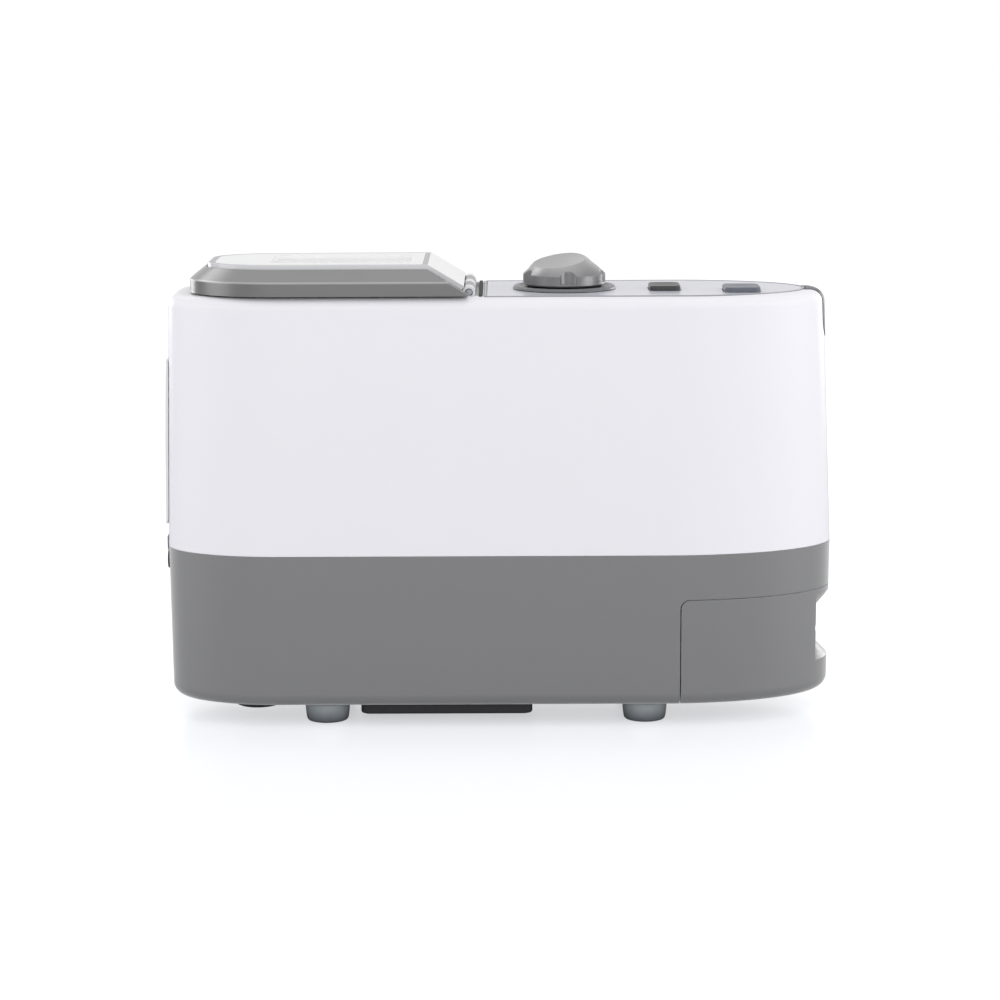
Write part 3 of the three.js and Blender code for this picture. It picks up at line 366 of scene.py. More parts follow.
# Distributor: a geared motor turns a ported acetal disc under a glass-filled nylon cap, which
# sends the air to one of four hoses in turn.
# Acetal, turned from bar: milky, waxy and smooth, with turning lines 0.3 mm apart.
acetal, tree, shader = finish("turned_acetal", "#E3E3DF", 0.38, ior=1.48)
place = add(tree, "ShaderNodeTexCoord").outputs["Object"]
lines = add(tree, "ShaderNodeTexNoise", {"Vector": place, "Scale": 1 / (0.3 * MM), "Detail": 1.0})
bump = add(tree, "ShaderNodeBump", {"Height": lines.outputs["Fac"], "Distance": 0.004 * MM})
tree.links.new(bump.outputs["Normal"], shader.inputs["Normal"])

# Glass-filled nylon, moulded: dark grey and slightly streaky, the fibres float to the skin.
dark_nylon = moulded("glass_filled_nylon", "#4A4C50", 0.5, 1.1, 0.03, sway=0.08, flow=0.15)

coat(zinc_steel, "distributor_motor")
coat(acetal, "distributor_rotor")
coat(dark_nylon, "distributor_body", "filter_housing")


# Air tubes: extruded clear vinyl, 4.8 mm outside, pushed over the nipples. One brings air from
# the filter, one takes it to the distributor, and four go on to the hose socket.
# Clear vinyl: milky and soft, with faint die lines along it.
clear_vinyl, tree, shader = finish("extruded_clear_vinyl", "#D9DDDF", 0.22, ior=1.52)
shader.inputs["Subsurface Weight"].default_value = 0.25
shader.inputs["Subsurface Scale"].default_value = 2 * MM
place = add(tree, "ShaderNodeTexCoord").outputs["Object"]
die_lines = add(tree, "ShaderNodeTexNoise", {"Vector": place, "Scale": 1 / (1.2 * MM), "Detail": 2.0})
bump = add(tree, "ShaderNodeBump", {"Height": die_lines.outputs["Fac"], "Distance": 0.01 * MM})
tree.links.new(bump.outputs["Normal"], shader.inputs["Normal"])
coat(clear_vinyl, "air_tube_1", "air_tube_2", "air_tube_3", "air_tube_4", "supply_tube", "intake_tube")


# Chassis with the transformer and the boards: a folded plate, clamped between the housings by
# four long screws, carries the main board on stand-offs; the key board hangs under the cover.
# Glass-epoxy board under green solder mask: glossy, with a weave of 0.7 mm showing through and
# copper tracks as paler bands.
green_board, tree, shader = finish("green_solder_mask", "#2B6A41", 0.3, ior=1.55)
place = add(tree, "ShaderNodeTexCoord").outputs["Object"]
weave = add(tree, "ShaderNodeTexChecker", {"Vector": place, "Scale": 1 / (0.7 * MM)})
tracks = add(tree, "ShaderNodeTexBrick", {
    "Vector": place, "Scale": 1 / (14 * MM), "Color1": linear("#2B6A41"), "Color2": linear("#327A4C"),
    "Mortar": linear("#4E9466"), "Mortar Size": 0.03})
tree.links.new(tracks.outputs["Color"], shader.inputs["Base Color"])
bump = add(tree, "ShaderNodeBump", {"Height": weave.outputs["Fac"], "Distance": 0.006 * MM})
tree.links.new(bump.outputs["Normal"], shader.inputs["Normal"])
coat(laminations, "transformer")
coat(zinc_steel, "chassis_plate", "case_screw_1", "case_screw_2", "case_screw_3", "case_screw_4")
coat(green_board, "main_board", "key_board")


# Upper housing: the white cover. ABS, moulded from above: the walls lean in as they rise, end
# in a rounded edge, and the flat top has the panel's recess, the hinge's trough and the openings
# of the keys and the knob. Four screws from below pull it down on the tray.
TOP = 197
TOP_RADIUS = 5.7
DRAFT = 3.4 / (TOP - SEAM)
HINGE_X = -14
PANEL_BACK = -7.3
PANEL_HALF_Y = 37
PANEL_NOSE_X = 80
PANEL_TIP = 141.8
KNOB_X = 30
# The keys: the centre of each, and half its width. They are equally deep.
KEYS = {"start": (76.25, -5.2, 7.15), "mode": (111.25, -13.8, 8.35)}
KEY_HALF_Y = 10


def cover_form(name, inset, bottom):
    """The cover's form, drawn in by an inset."""
    radius = max(TOP_RADIUS - inset, 1.5)
    shoulder = TOP - inset - radius
    levels = [(case_outline(inset, (bottom - SEAM) * DRAFT), bottom)]
    lean = (shoulder - SEAM) * DRAFT
    for angle in np.radians(np.linspace(0, 90, 11)):
        inward = inset + radius * (1 - math.cos(angle))
        levels.append((case_outline(inward, lean), shoulder + radius * math.sin(angle)))
    return skin(name, levels)


def panel_outline(inset):
    """The control panel's plan: square at the hinge, an ellipse inside the nose."""
    half = PANEL_HALF_Y - inset
    back = PANEL_BACK + inset
    corner = 2
    return np.vstack([
        arc(back + corner, corner - half, corner, corner, 180, 270, 6),
        arc(PANEL_NOSE_X, 0, PANEL_TIP - PANEL_NOSE_X - inset, half, -90, 90, 72),
        arc(back + corner, half - corner, corner, corner, 90, 180, 6)])


def rounded_box(x, y, half_x, half_y, radius, steps=10):
    """A rectangle with rounded corners, as an outline."""
    return np.vstack([
        arc(x + sx * (half_x - radius), y + sy * (half_y - radius), radius, radius, start, start + 90, steps)
        for sx, sy, start in ((1, 1, 0), (-1, 1, 90), (-1, -1, 180), (1, -1, 270))])


def strip_region(name, margin):
    """Where the front trim strip lies: a tongue 16 mm wide, from the panel's tip down the nose."""
    tongue = prism(name, rounded_box(0, 194.5, 8 + margin, 20 + margin, 7.99 + margin), 132, 160, "x")
    return cut(tongue, prism("panel_end", panel_outline(margin - 0.3), 190, 220))


# White ABS, moulded in a polished tool: a clean, slightly lavender white with a soft gloss. Its
# grain is hardly there: it is drawn at 0.9 mm, 0.004 mm deep.
white_abs = moulded("white_abs_polished", "#EEEDF2", 0.3, 0.9, 0.004, sway=0.04, flow=0.015)
white_abs.node_tree.nodes["Principled BSDF"].inputs["Specular IOR Level"].default_value = 0.15

cover = cover_form("upper_housing_shell", 0, SEAM + 0.15)
cut(cover, cover_form("cover_hollow", WALL, SEAM - 1))
join(cover, block("hinge_trough", HINGE_X - 7.6, HINGE_X + 9, -33.5, 33.5, 190.6, 195))
cut(cover,
    block("hinge_pocket", HINGE_X - 5.2, PANEL_BACK - 0.3, -31, 31, 193.2, 200),
    prism("panel_recess", panel_outline(0), 195.7, 200),
    drum("knob_hole", KNOB_X, 0, 5, 190, 200))
for name, (x, y, half_x) in KEYS.items():
    cut(cover, prism(name + "_key_hole", rounded_box(x, y, half_x + 0.4, KEY_HALF_Y + 0.4, 3.9), 190, 200))
groove = strip_region("strip_groove", 0.3)
cut(groove, cover_form("groove_floor", 0.7, SEAM))
cut(cover, groove,
    block("vent_opening", -160, -140, -13, 13, 96, 159),
    block("catch_opening", -160, -140, -5.3, 5.3, SEAM - 2, 82.3))
smooth(cover, 0.3)
fit(cover, white_abs, "white_abs", "casing", "upper_housing")


# Port cover: the U-shaped nose of the tray, moulded as a piece of its own in the same grey ABS,
# with a cove across it where the hose plug is gripped and a flat for the socket behind it.
COVE_BACK = 147.2
SOCKET_Z = 39.4

nose = base_form("front_port_cover_shell", 0, SEAM)
wall_behind_cove = base_form("wall_behind_cove", 0, SEAM)
shape(wall_behind_cove, "INTERSECT", block("wall_slab", COVE_BACK - WALL, 170, -40, 40, 20.5, 56.9))
cut(nose, base_form("nose_hollow", WALL, SEAM + 5))
join(nose, wall_behind_cove)
shape(nose, "INTERSECT", port_region("nose_region", -PARTING))
waist = skin("waist", [(case_outline(inset), z) for inset, z in (
    (-1, 21.5), (-0.2, 22), (0.2, 22.8), (0.7, 23.8), (1.5, 24.8), (2.7, 26), (5.6, 29), (7.2, 31),
    (8, 32.4), (8.4, 34), (8.4, 44), (8.2, 44.8), (7.6, 46), (1.9, 52.8), (1.2, 53.8), (0.6, 54.8),
    (-0.2, 55.7), (-1, 56.2))])
cove = block("cove", COVE_BACK, 170, -40, 40, 21.7, 56.1)
cut(cove, waist)
cut(nose, cove)
cut(nose, prism("socket_slot", rounded_box(0, SOCKET_Z, 19, 6.3, 6.29), 140, 170, "x"))
smooth(nose, 0.4)
fit(nose, grey_abs, "grey_abs", "casing", "front_port_cover")


# Hose socket: an oval cup, moulded in glass-filled nylon and clamped behind the nose's wall. Four
# nipples stand in its floor, one for each air chamber of the garment.
NIPPLE_PITCH = 8.4

socket = prism("hose_socket_cup", rounded_box(0, SOCKET_Z, 18.7, 6, 5.99), 128, 146.8, "x")
join(socket, prism("socket_flange", rounded_box(0, SOCKET_Z, 18.7, 8.3, 8.29), 141.6, 144.3, "x"))
cut(socket, prism("socket_hollow", rounded_box(0, SOCKET_Z, 17.3, 4.6, 4.59), 130, 170, "x"))
for step in (-1.5, -0.5, 0.5, 1.5):
    y = step * NIPPLE_PITCH
    join(socket, drum("tail", y, SOCKET_Z, 2.7, 122, 138, "x", 32))
    cut(socket, drum("bore", y, SOCKET_Z, 1.5, 121, 139, "x", 24))
smooth(socket, 0.35)
fit(socket, dark_nylon, "socket_plastic", "casing", "hose_socket")


# Feet: four grey rubber buffers, compression-moulded and pressed into the tray by their stems.
# Each swells a little from the flat that it stands on.
def turned(name, profile, x=0.0, y=0.0, sides=64):
    """A turned form on an upright axis, from a profile of (radius, z) from axis to axis."""
    last = 360 - 360 / sides
    return skin(name, [(arc(x, y, max(r, 0.01), max(r, 0.01), 0, last, sides - 1), z) for r, z in profile])


# Grey rubber, compression-moulded: satin, paler where dust settles, in patches about 5 mm wide. Painted
# shade darkens it towards the floor, and it is painted paler above.
foot_rubber, tree, shader = finish("moulded_grey_rubber", "#7A8085", 0.42, ior=1.5)
place = add(tree, "ShaderNodeTexCoord").outputs["Object"]
dust = add(tree, "ShaderNodeTexNoise", {"Vector": place, "Scale": 1 / (5 * MM), "Detail": 4.0})
height = add(tree, "ShaderNodeSeparateXYZ", {"Vector": place})
# Painted shade by height: dark at the floor, pale from 8 mm up.
painted_floor_shade = add(tree, "ShaderNodeMapRange", {
    "Value": height.outputs["Z"], "From Min": 0.5 * MM, "From Max": 8 * MM, "To Min": 0.0, "To Max": 1.0})
pale = add(tree, "ShaderNodeMath", {
    0: dust.outputs["Fac"], 1: 0.3, 2: painted_floor_shade.outputs["Result"]}, operation="MULTIPLY_ADD")
tint = add(tree, "ShaderNodeMix", {
    "Factor": pale.outputs[0], 6: linear("#454A4E"), 7: linear("#9AA0A4")}, data_type="RGBA")
tree.links.new(tint.outputs[2], shader.inputs["Base Color"])
bump = add(tree, "ShaderNodeBump", {"Height": dust.outputs["Fac"], "Distance": 0.05 * MM})
tree.links.new(bump.outputs["Normal"], shader.inputs["Normal"])

FOOT_PROFILE = [
    (0, -1), (8.6, -1), (9.1, -0.85), (9.5, -0.45), (9.75, 0.3), (9.95, 1.6), (10.15, 3.4),
    (10.3, 5.4), (10.3, 7.4), (9.9, 7.9), (2.7, 7.9), (2.7, 15), (0, 15)]
for name, (x, y) in FEET.items():
    foot = turned("rubber_foot_" + name, FOOT_PROFILE, x, y)
    smooth(foot, 0, keep_sharp=50)
    fit(foot, foot_rubber, "foot_rubber", "casing", "foot_" + name)


# Pump compartment cover: a shallow tray under the pump, moulded in black polypropylene with
# cooling slots and snapped into the base.
# Black polypropylene, moulded: matt, slightly waxy, with a coarse grain of about 0.8 mm.
black_plastic = moulded("black_polypropylene", "#37373A", 0.5, 0.8, 0.02, ior=1.49)

PUMP_X = -25.35
SLOT_PITCH = 5
bottom = skin("pump_bottom_tray", [
    (rounded_box(PUMP_X, 0, 39.85 - inset, 33 - inset, 3), z)
    for inset, z in ((1.2, 2.1), (0.4, 2.5), (0, 3.3), (0, 7.9))])
join(bottom, block("snap_wall", -54.8, 4.1, -28.6, 28.6, 7.2, 11.4))
cut(bottom, block("tray_hollow", -52.8, 2.1, -26.6, 26.6, 4.3, 13))
join(bottom, block("hook_rear", -56.2, -52.8, -8, 8, 11.1, 12.4),
     block("hook_front", 2.1, 5.5, -8, 8, 11.1, 12.4))
for step in range(-3, 4):
    cut(bottom, prism("cooling_slot", rounded_box(PUMP_X + step * SLOT_PITCH, 0, 1, 16, 0.99), 0, 6))
smooth(bottom, 0.25)
fit(bottom, black_plastic, "black_plastic", "casing", "pump_bottom_cover")


# Intake filter cap: a black polypropylene cap with a coin slot, screwed into the filter's cup
# through the tray's floor, so that the filter can be changed.
cap = turned("intake_filter_coin_cap", [
    (0, 4.9), (9.7, 4.9), (10.4, 5.2), (10.7, 5.9), (10.7, 7.9), (9.2, 7.9), (9.2, 14), (7.4, 14),
    (7.4, 6.7), (0, 6.7)], FILTER_X, FILTER_Y)
cut(cap, prism("coin_slot", rounded_box(FILTER_X, FILTER_Y, 6, 1, 0.99), 0, 5.7))
smooth(cap, 0.2, angle=50, keep_sharp=60)
fit(cap, black_plastic, "black_plastic", "casing", "intake_filter_cap")


# Rear vent cover: a bowed, louvred plate in light grey ABS, clipped over the opening in the
# cover's rear, where the pump's warm air leaves.
# Light grey ABS: matt, moulded with a fine grain of 0.9 mm.
light_grey_abs = moulded("light_grey_abs_fine_grain", "#E9E9EC", 0.42, 0.9, 0.01)

VENT_LOW = 89
VENT_HEIGHT = 77
LOUVRES = 9
LOUVRE_PITCH = 65 / LOUVRES
levels = []
for share in np.linspace(0, 1, 17):
    proud = 1.3 + 0.3 * math.sin(math.pi * share)
    z = VENT_LOW + VENT_HEIGHT * share
    levels.append((case_outline(-proud, (z - SEAM) * DRAFT), z))
vent = skin("rear_vent_louvre_plate", levels)
shape(vent, "INTERSECT", prism("vent_outline", rounded_box(0, 127.5, 16, 38.5, 4), -170, -120, "x"))
cut(vent, cover_form("vent_seat", -0.3, SEAM))
for row in range(LOUVRES):
    z = 95 + LOUVRE_PITCH * (row + 0.5)
    cut(vent, prism("louvre_slot", rounded_box(0, z, 11, 1.2, 1.19, 6), -170, -120, "x"))
smooth(vent, 0.3)
fit(vent, light_grey_abs, "light_grey_abs", "casing", "rear_vent_cover")


# Rear catch: a small plate, moulded in the tray's grey ABS, that hooks the cover to the tray in
# the middle of the rear. Its tongue goes in through both walls.
catch = skin("rear_catch_plate", [(case_outline(-proud), z) for proud, z in (
    (0.2, 75.5), (0.9, 75.8), (1.2, 76.7), (1.2, 82), (0.8, 83.1), (0, 83.6))])
shape(catch, "INTERSECT", prism("catch_outline", rounded_box(0, 79.5, 9, 5, 1.5), -170, -150, "x"))
cut(catch, prism("catch_seat", case_outline(-0.3), 70, 90))
join(catch, block("catch_tongue", -155.5, -151, -5, 5, 77.1, 81.9))
smooth(catch, 0.25)
fit(catch, grey_abs, "light_grey_abs", "casing", "rear_catch")


# Power inlet: a figure-8 socket, moulded in black polypropylene round two steel pins and pushed
# through the tray's rear wall below the catch.
INLET_Z = 70.85
INLET_PINS = {"near": -4.3, "far": 4.3}

inlet = prism("power_inlet_body", rounded_box(0, INLET_Z, 8.7, 4.35, 4.34), -156.2, -136, "x")
cut(inlet, prism("inlet_hollow", rounded_box(0, INLET_Z, 7.4, 3.05, 3.04), -160, -140, "x"))
for y in INLET_PINS.values():
    cut(inlet, drum("pin_hole", y, INLET_Z, 1.45, -145, -130, "x", 24))
smooth(inlet, 0.25)
fit(inlet, black_plastic, "black_plastic", "casing", "power_inlet")
for name, y in INLET_PINS.items():
    pin = drum("inlet_contact_" + name, y, INLET_Z, 1.15, -150, -132, "x", 24)
    smooth(pin, 0.3)
    fit(pin, zinc_steel, "zinc_steel", "casing", "inlet_pin_" + name)


# Control panel: a satin film on a moulded plate, let into the cover's top inside a thin grey
# trim. A darker strip leads from its tip over the front edge and ends as a tongue on the nose.
# Satin polyester film, back-printed pale lavender: smooth, with a faint ripple 6 mm wide.
panel_film = moulded("satin_polyester_film", "#CBCBD5", 0.26, 6, 0.01, ior=1.57, sway=0.03, flow=0.01)
panel_film.node_tree.nodes["Principled BSDF"].inputs["Specular IOR Level"].default_value = 0.25
panel = prism("control_panel_film", panel_outline(1.6), 196, 197.2)
cut(panel, drum("spindle_hole", KNOB_X, 0, 7, 190, 200))
for name, (x, y, half_x) in KEYS.items():
    cut(panel, prism(name + "_window", rounded_box(x, y, half_x + 0.35, KEY_HALF_Y + 0.35, 3.85), 190, 200))
smooth(panel, 0.15)
fit(panel, panel_film, "panel_film", "casing", "control_panel")

# Grey ABS, painted satin: the paint has a faint orange peel, 3 mm wide.
trim_grey = moulded("satin_painted_trim", "#A6A7AB", 0.34, 3, 0.01, sway=0.03)
trim = prism("panel_trim_ring", panel_outline(0.3), 196, 197.35)
cut(trim, prism("trim_inside", panel_outline(1.3), 190, 200))
smooth(trim, 0.15)
fit(trim, trim_grey, "trim_grey", "casing", "panel_trim")

strip = cover_form("front_trim_band", -0.3, SEAM)
shape(strip, "INTERSECT", strip_region("strip_tongue", 0))
cut(strip, cover_form("strip_seat", 0.4, SEAM - 1))
smooth(strip, 0.2)
# Mid grey ABS, moulded satin: much darker than the trim round the panel, with a faint ripple
# 3 mm wide from its tool.
strip_grey = moulded("satin_mid_grey_abs", "#5C5D60", 0.4, 3, 0.01, sway=0.03)
strip_grey.node_tree.nodes["Principled BSDF"].inputs["Specular IOR Level"].default_value = 0.2
fit(strip, strip_grey, "trim_grey", "casing", "front_trim_strip")


# Pressure knob: a cap with five flutes and a dished top, moulded in ABS, lacquered, and pushed on
# the spindle of the encoder. It turns on a felt washer inside an escutcheon ring.
ring = turned("knob_escutcheon_ring", [
    (0, 197.5), (23.85, 197.5), (23.75, 197.9), (23.3, 198.5), (22.9, 198.8), (21.2, 198.8), (20.8, 198.6),
    (20.3, 198.2), (0, 198.2)], KNOB_X, 0, 96)
cut(ring, drum("ring_hole", KNOB_X, 0, 8, 190, 200))
smooth(ring, 0, keep_sharp=60)
# Smoke-grey painted ABS, satin: darker than the trim, so that the knob seems to float over it,
# with the same orange peel, 3 mm wide.
ring_grey = moulded("satin_painted_ring", "#6E6F73", 0.36, 3, 0.01, sway=0.03)
fit(ring, ring_grey, "trim_grey", "casing", "knob_escutcheon")

# Felt washer: die-cut black wool felt on the spindle, which gives the knob its smooth drag. The
# fibres are drawn at 0.7 mm so that they show.
black_felt, tree, shader = finish("die_cut_wool_felt", "#151516", 0.95, ior=1.4)
place = add(tree, "ShaderNodeTexCoord").outputs["Object"]
fibres = add(tree, "ShaderNodeTexNoise", {"Vector": place, "Scale": 1 / (0.7 * MM), "Detail": 4.0})
tint = add(tree, "ShaderNodeMix", {
    "Factor": fibres.outputs["Fac"], 6: linear("#0E0E0F"), 7: linear("#242426")}, data_type="RGBA")
tree.links.new(tint.outputs[2], shader.inputs["Base Color"])
bump = add(tree, "ShaderNodeBump", {"Height": fibres.outputs["Fac"], "Distance": 0.2 * MM})
tree.links.new(bump.outputs["Normal"], shader.inputs["Normal"])
felt = turned("knob_felt_washer", [
    (0, 198.22), (16.8, 198.22), (17.2, 198.5), (17.2, 198.8), (16.8, 199.05), (0, 199.05)], KNOB_X, 0, 96)
cut(felt, drum("felt_hole", KNOB_X, 0, 5, 190, 200))
smooth(felt, 0, keep_sharp=60)
fit(felt, black_felt, None, "casing")


def knob_level(reach_x, reach_y, shift_x, shift_y, z):
    """One level of the knob: an ellipse, shifted from the spindle."""
    return np.column_stack([arc(KNOB_X + shift_x, shift_y, reach_x, reach_y, 0, 357, 119), np.full(120, z)])


# Knob paint: a soft metallic grey lacquer on ABS, painted paler towards the top as a painted
# highlight. The flakes are drawn at 0.6 mm so that they show.
knob_grey, tree, shader = finish("metallic_lacquer_on_abs", "#A0A0A1", 0.34, ior=1.5)
shader.inputs["Metallic"].default_value = 0.7
place = add(tree, "ShaderNodeTexCoord").outputs["Object"]
flakes = add(tree, "ShaderNodeTexVoronoi", {"Vector": place, "Scale": 1 / (0.6 * MM)})
height = add(tree, "ShaderNodeSeparateXYZ", {"Vector": place})
# Painted highlight: the lacquer grows paler from 206 mm to 212 mm up.
painted_highlight = add(tree, "ShaderNodeMapRange", {
    "Value": height.outputs["Z"], "From Min": 206 * MM, "From Max": 212 * MM, "To Min": 0.0, "To Max": 1.0})
paint = add(tree, "ShaderNodeMix", {
    "Factor": painted_highlight.outputs["Result"], 6: linear("#8F8F90"), 7: linear("#B6B6B7")}, data_type="RGBA")
tree.links.new(paint.outputs[2], shader.inputs["Base Color"])
gloss = add(tree, "ShaderNodeMapRange", {
    "Value": flakes.outputs["Distance"], "To Min": 0.3, "To Max": 0.38})
tree.links.new(gloss.outputs["Result"], shader.inputs["Roughness"])
bump = add(tree, "ShaderNodeBump", {"Height": flakes.outputs["Distance"], "Distance": 0.002 * MM})
tree.links.new(bump.outputs["Normal"], shader.inputs["Normal"])

DISH_RADIUS = 86
DISH_CENTRE_Z = 293.4
FLUTES = 5
FLUTE_REACH = 21.7

# Level by level: reach along and across, shift along and across, height.
knob = loft("pressure_knob_cap", [knob_level(*level) for level in (
    (18.5, 18.5, 0, 0, 199.2), (19.1, 19.1, 0, 0, 199.8), (19.1, 19.1, 0, 0, 204),
    (18.8, 18.8, 0, 0, 204.5), (16.7, 16.7, 0, 0, 206.4), (15.2, 15.3, -0.3, 0.5, 208),
    (13.5, 13.9, -0.5, 1, 209.4), (11.6, 12.4, 0, 1.5, 210.7), (8.9, 10, 0.9, 2, 212),
    (5.6, 7, 1.8, 2.5, 212.9), (2.4, 3, 2.1, 3, 213.3))])
bowl = [(r, DISH_CENTRE_Z - math.sqrt(DISH_RADIUS ** 2 - r ** 2)) for r in range(0, 37, 3)]
cut(knob, turned("finger_dish", bowl + [(36, 230), (0, 230)], KNOB_X - 12.6, -16.2, 128))
for step in range(FLUTES):
    angle = math.radians(-85 + 360 / FLUTES * step)
    x = KNOB_X + FLUTE_REACH * math.cos(angle)
    cut(knob, drum("flute", x, FLUTE_REACH * math.sin(angle), 5, 200.6, 220))
cut(knob, turned("knob_hollow", [
    (0, 190), (15.2, 190), (15.2, 200.8), (5.5, 200.8), (5.5, 201.6), (3.3, 201.6), (3.3, 208.4),
    (0, 208.4)], KNOB_X))
smooth(knob, 0.45, angle=24, keep_sharp=60)
fit(knob, knob_grey, "knob_grey", "knob", "pressure_knob")
coat(zinc_steel, "knob_spindle")
coat(dark_nylon, "knob_encoder")


# Keys: two caps that look up through the panel, moulded in slate grey ABS with a dished top. A
# flange under the cover keeps them in.
# Slate grey ABS, moulded: matt, the start key neutral and the mode key a paler, bluish shade. Its
# grain is finer than it is drawn, at 0.6 mm.
key_tints = {"start": "#38383B", "mode": "#646772"}
for name, (x, y, half_x) in KEYS.items():
    key = skin(name + "_key_cap", [
        (rounded_box(x, y, half_x - inset, KEY_HALF_Y - inset, 3.5 - inset), z)
        for inset, z in ((0, 191.6), (0, 198.8), (0.1, 199.15), (0.35, 199.4), (0.7, 199.5))])
    join(key, prism("key_flange", rounded_box(x, y, half_x + 1.3, KEY_HALF_Y + 1.3, 4.5), 191.6, 193.6))
    cut(key, turned("dish", [
        (0, 198.95), (3, 199), (5, 199.1), (9, 199.5), (11, 199.85), (11, 203), (0, 203)], x, y))
    smooth(key, 0.12, angle=40)
    key_slate = moulded(name + "_slate_abs_fine_grain", key_tints[name], 0.4, 0.6, 0.01)
    fit(key, key_slate, "key_slate", name + "_key", name + "_button")


# Display: a shallow lid over the rear of the cover that tilts up on a pin. Its lacquered shell is
# bevelled all round and slopes down to the hinge. A glossy white sheet, with a clear window and a
# fine inlaid border, is bonded on top and folds down over the slope.
HINGE_Z = 198.4
HINGE_HALF_Y = 30.5
KNUCKLE = 2.9
PIN = 1.5
LID_REACH = 41.1
LID_HALF_Y = 41.5
LID_TIP = -14.6
LID_TIP_Z = 199.9
LID_LOW = 197.7
LID_FLOOR = 199.3
LID_CREASE = 203.8
FOLD_X = -32.4
LID_HIGH = 210.6
BEVEL = 8.8
BEZEL_STEP = 1.3
ARM_Y = 14.2
ARM_HALF = 7.8
VIEW_X = -73


def lid_outline(inset, end=LID_TIP):
    """The display's plan: it follows the casing's rear, with a straight end at the hinge."""
    half = LID_HALF_Y - inset
    reach = LID_REACH - inset
    return np.vstack([
        [(end, -half), (end, half)],
        arc(TAIL_X, TAIL_Y, reach, half - TAIL_Y, 90, 180, 32),
        arc(TAIL_X, -TAIL_Y, reach, half - TAIL_Y, 180, 270, 32)])


def under_top(name, margin):
    """All that lies below the display's top and its slope, raised or sunk by a margin."""
    slope = math.atan2(LID_HIGH - LID_TIP_Z, LID_TIP - FOLD_X)
    up = margin / math.cos(slope)
    rise = margin * math.tan(slope / 2)
    corners = [(190, -160), (190, LID_TIP + 10), (LID_TIP_Z + up - 10 * math.tan(slope), LID_TIP + 10),
               (LID_HIGH + margin, FOLD_X + rise), (LID_HIGH + margin, -160)]
    return prism(name, corners[::-1], -60, 60, "y")


def lid_form(name, inset, low):
    """The display's form up to the flat: its bevel leans at 38 degrees."""
    return skin(name, [
        (lid_outline(inset), low), (lid_outline(inset), LID_CREASE - inset * 0.4),
        (lid_outline(inset * 0.8 + BEVEL), LID_HIGH)])


def arm(name, side, margin):
    """One of the two arms that reach to the hinge, grown by a margin."""
    y = side * ARM_Y
    half = ARM_HALF + margin
    return block(name, HINGE_X - 8, HINGE_X, y - half, y + half, LID_LOW - margin, LID_FLOOR + margin)


# Lid grey: ABS under a satin metallic lacquer, which is bright where it faces the light above and
# dark on the upright sides, with an orange peel 5 mm wide. Along the crease a painted highlight
# makes it paler, in a line about 1 mm wide.
lid_grey = moulded("metallic_lacquered_abs", "#8E8E8E", 0.33, 5, 0.012, sway=0.04, flow=0.03)
tree = lid_grey.node_tree
shader = tree.nodes["Principled BSDF"]
shader.inputs["Metallic"].default_value = 0.75
place = add(tree, "ShaderNodeTexCoord").outputs["Object"]
height = add(tree, "ShaderNodeSeparateXYZ", {"Vector": place})
above = add(tree, "ShaderNodeMath", {
    0: height.outputs["Z"], 1: (LID_CREASE + DATUM[2]) * MM}, operation="SUBTRACT")
off = add(tree, "ShaderNodeMath", {0: above.outputs[0]}, operation="ABSOLUTE")
# Painted highlight: a pale line about 1 mm wide along the crease.
painted_highlight = add(tree, "ShaderNodeMapRange", {
    "Value": off.outputs[0], "From Min": 0.2 * MM, "From Max": 0.6 * MM, "To Min": 0.5, "To Max": 0.0})
lacquer = shader.inputs["Base Color"].links[0].from_socket
tint = add(tree, "ShaderNodeMix", {
    "Factor": painted_highlight.outputs["Result"], 6: lacquer, 7: linear("#CCCCCC")}, data_type="RGBA")
tree.links.new(tint.outputs[2], shader.inputs["Base Color"])

bezel = lid_form("display_bezel_shell", 0, LID_LOW)
shape(bezel, "INTERSECT", under_top("bezel_top", -BEZEL_STEP))
hollow = lid_form("bezel_hollow", 1.9, 190)
shape(hollow, "INTERSECT", under_top("hollow_top", -2 - BEZEL_STEP))
recess = prism("window_recess", lid_outline(BEVEL - 0.9, 0), 190, 215)
cut(recess, under_top("recess_floor", -1.5 - BEZEL_STEP))
cut(bezel, hollow, recess, block("glass_opening", -126, -40, -25, 25, 204, 215),
    arm("arm_gap_near", -1, 0.3), arm("arm_gap_far", 1, 0.3),
    drum("hinge_sweep", HINGE_Z, HINGE_X, 3.4, -31.1, 31.1, "y"))
smooth(bezel, 0.55, angle=25)
fit(bezel, lid_grey, "lid_grey", "display", "display_bezel")

# White acrylic sheet, polished and back-printed: brilliant and flat, but for a swell 30 mm wide.
window_white = moulded("back_printed_white_acrylic", "#DADADD", 0.08, 30, 0.01, ior=1.49, sway=0.02,
                       flow=0.01)
window = prism("display_window_sheet", lid_outline(BEVEL - 0.6, LID_TIP - 1.6), 190, 215)
shape(window, "INTERSECT", under_top("window_top", 0.6))
cut(window, under_top("window_back", -1.2 - BEZEL_STEP))
border = prism("window_border_inlay", lid_outline(BEVEL + 0.3, FOLD_X - 0.4), 210.8, LID_HIGH + 0.6)
cut(border, prism("border_inside", lid_outline(BEVEL + 2.7, FOLD_X - 2.4), 205, 215))
border_groove = prism("border_groove", lid_outline(BEVEL + 0.2, FOLD_X - 0.3), 210.75, 215)
cut(border_groove, prism("groove_inside", lid_outline(BEVEL + 2.8, FOLD_X - 2.5), 205, 217))
cut(window, prism("viewing_area", rounded_box(VIEW_X, 0, 32, 22, 1.5), 190, 215), border_groove,
    drum("window_sweep", HINGE_Z, HINGE_X, 3.4, -45, 45, "y"))
smooth(window, 0.15)
fit(window, window_white, "window_acrylic", "display", "display_window")
fit(border, trim_grey, "trim_grey", "display")

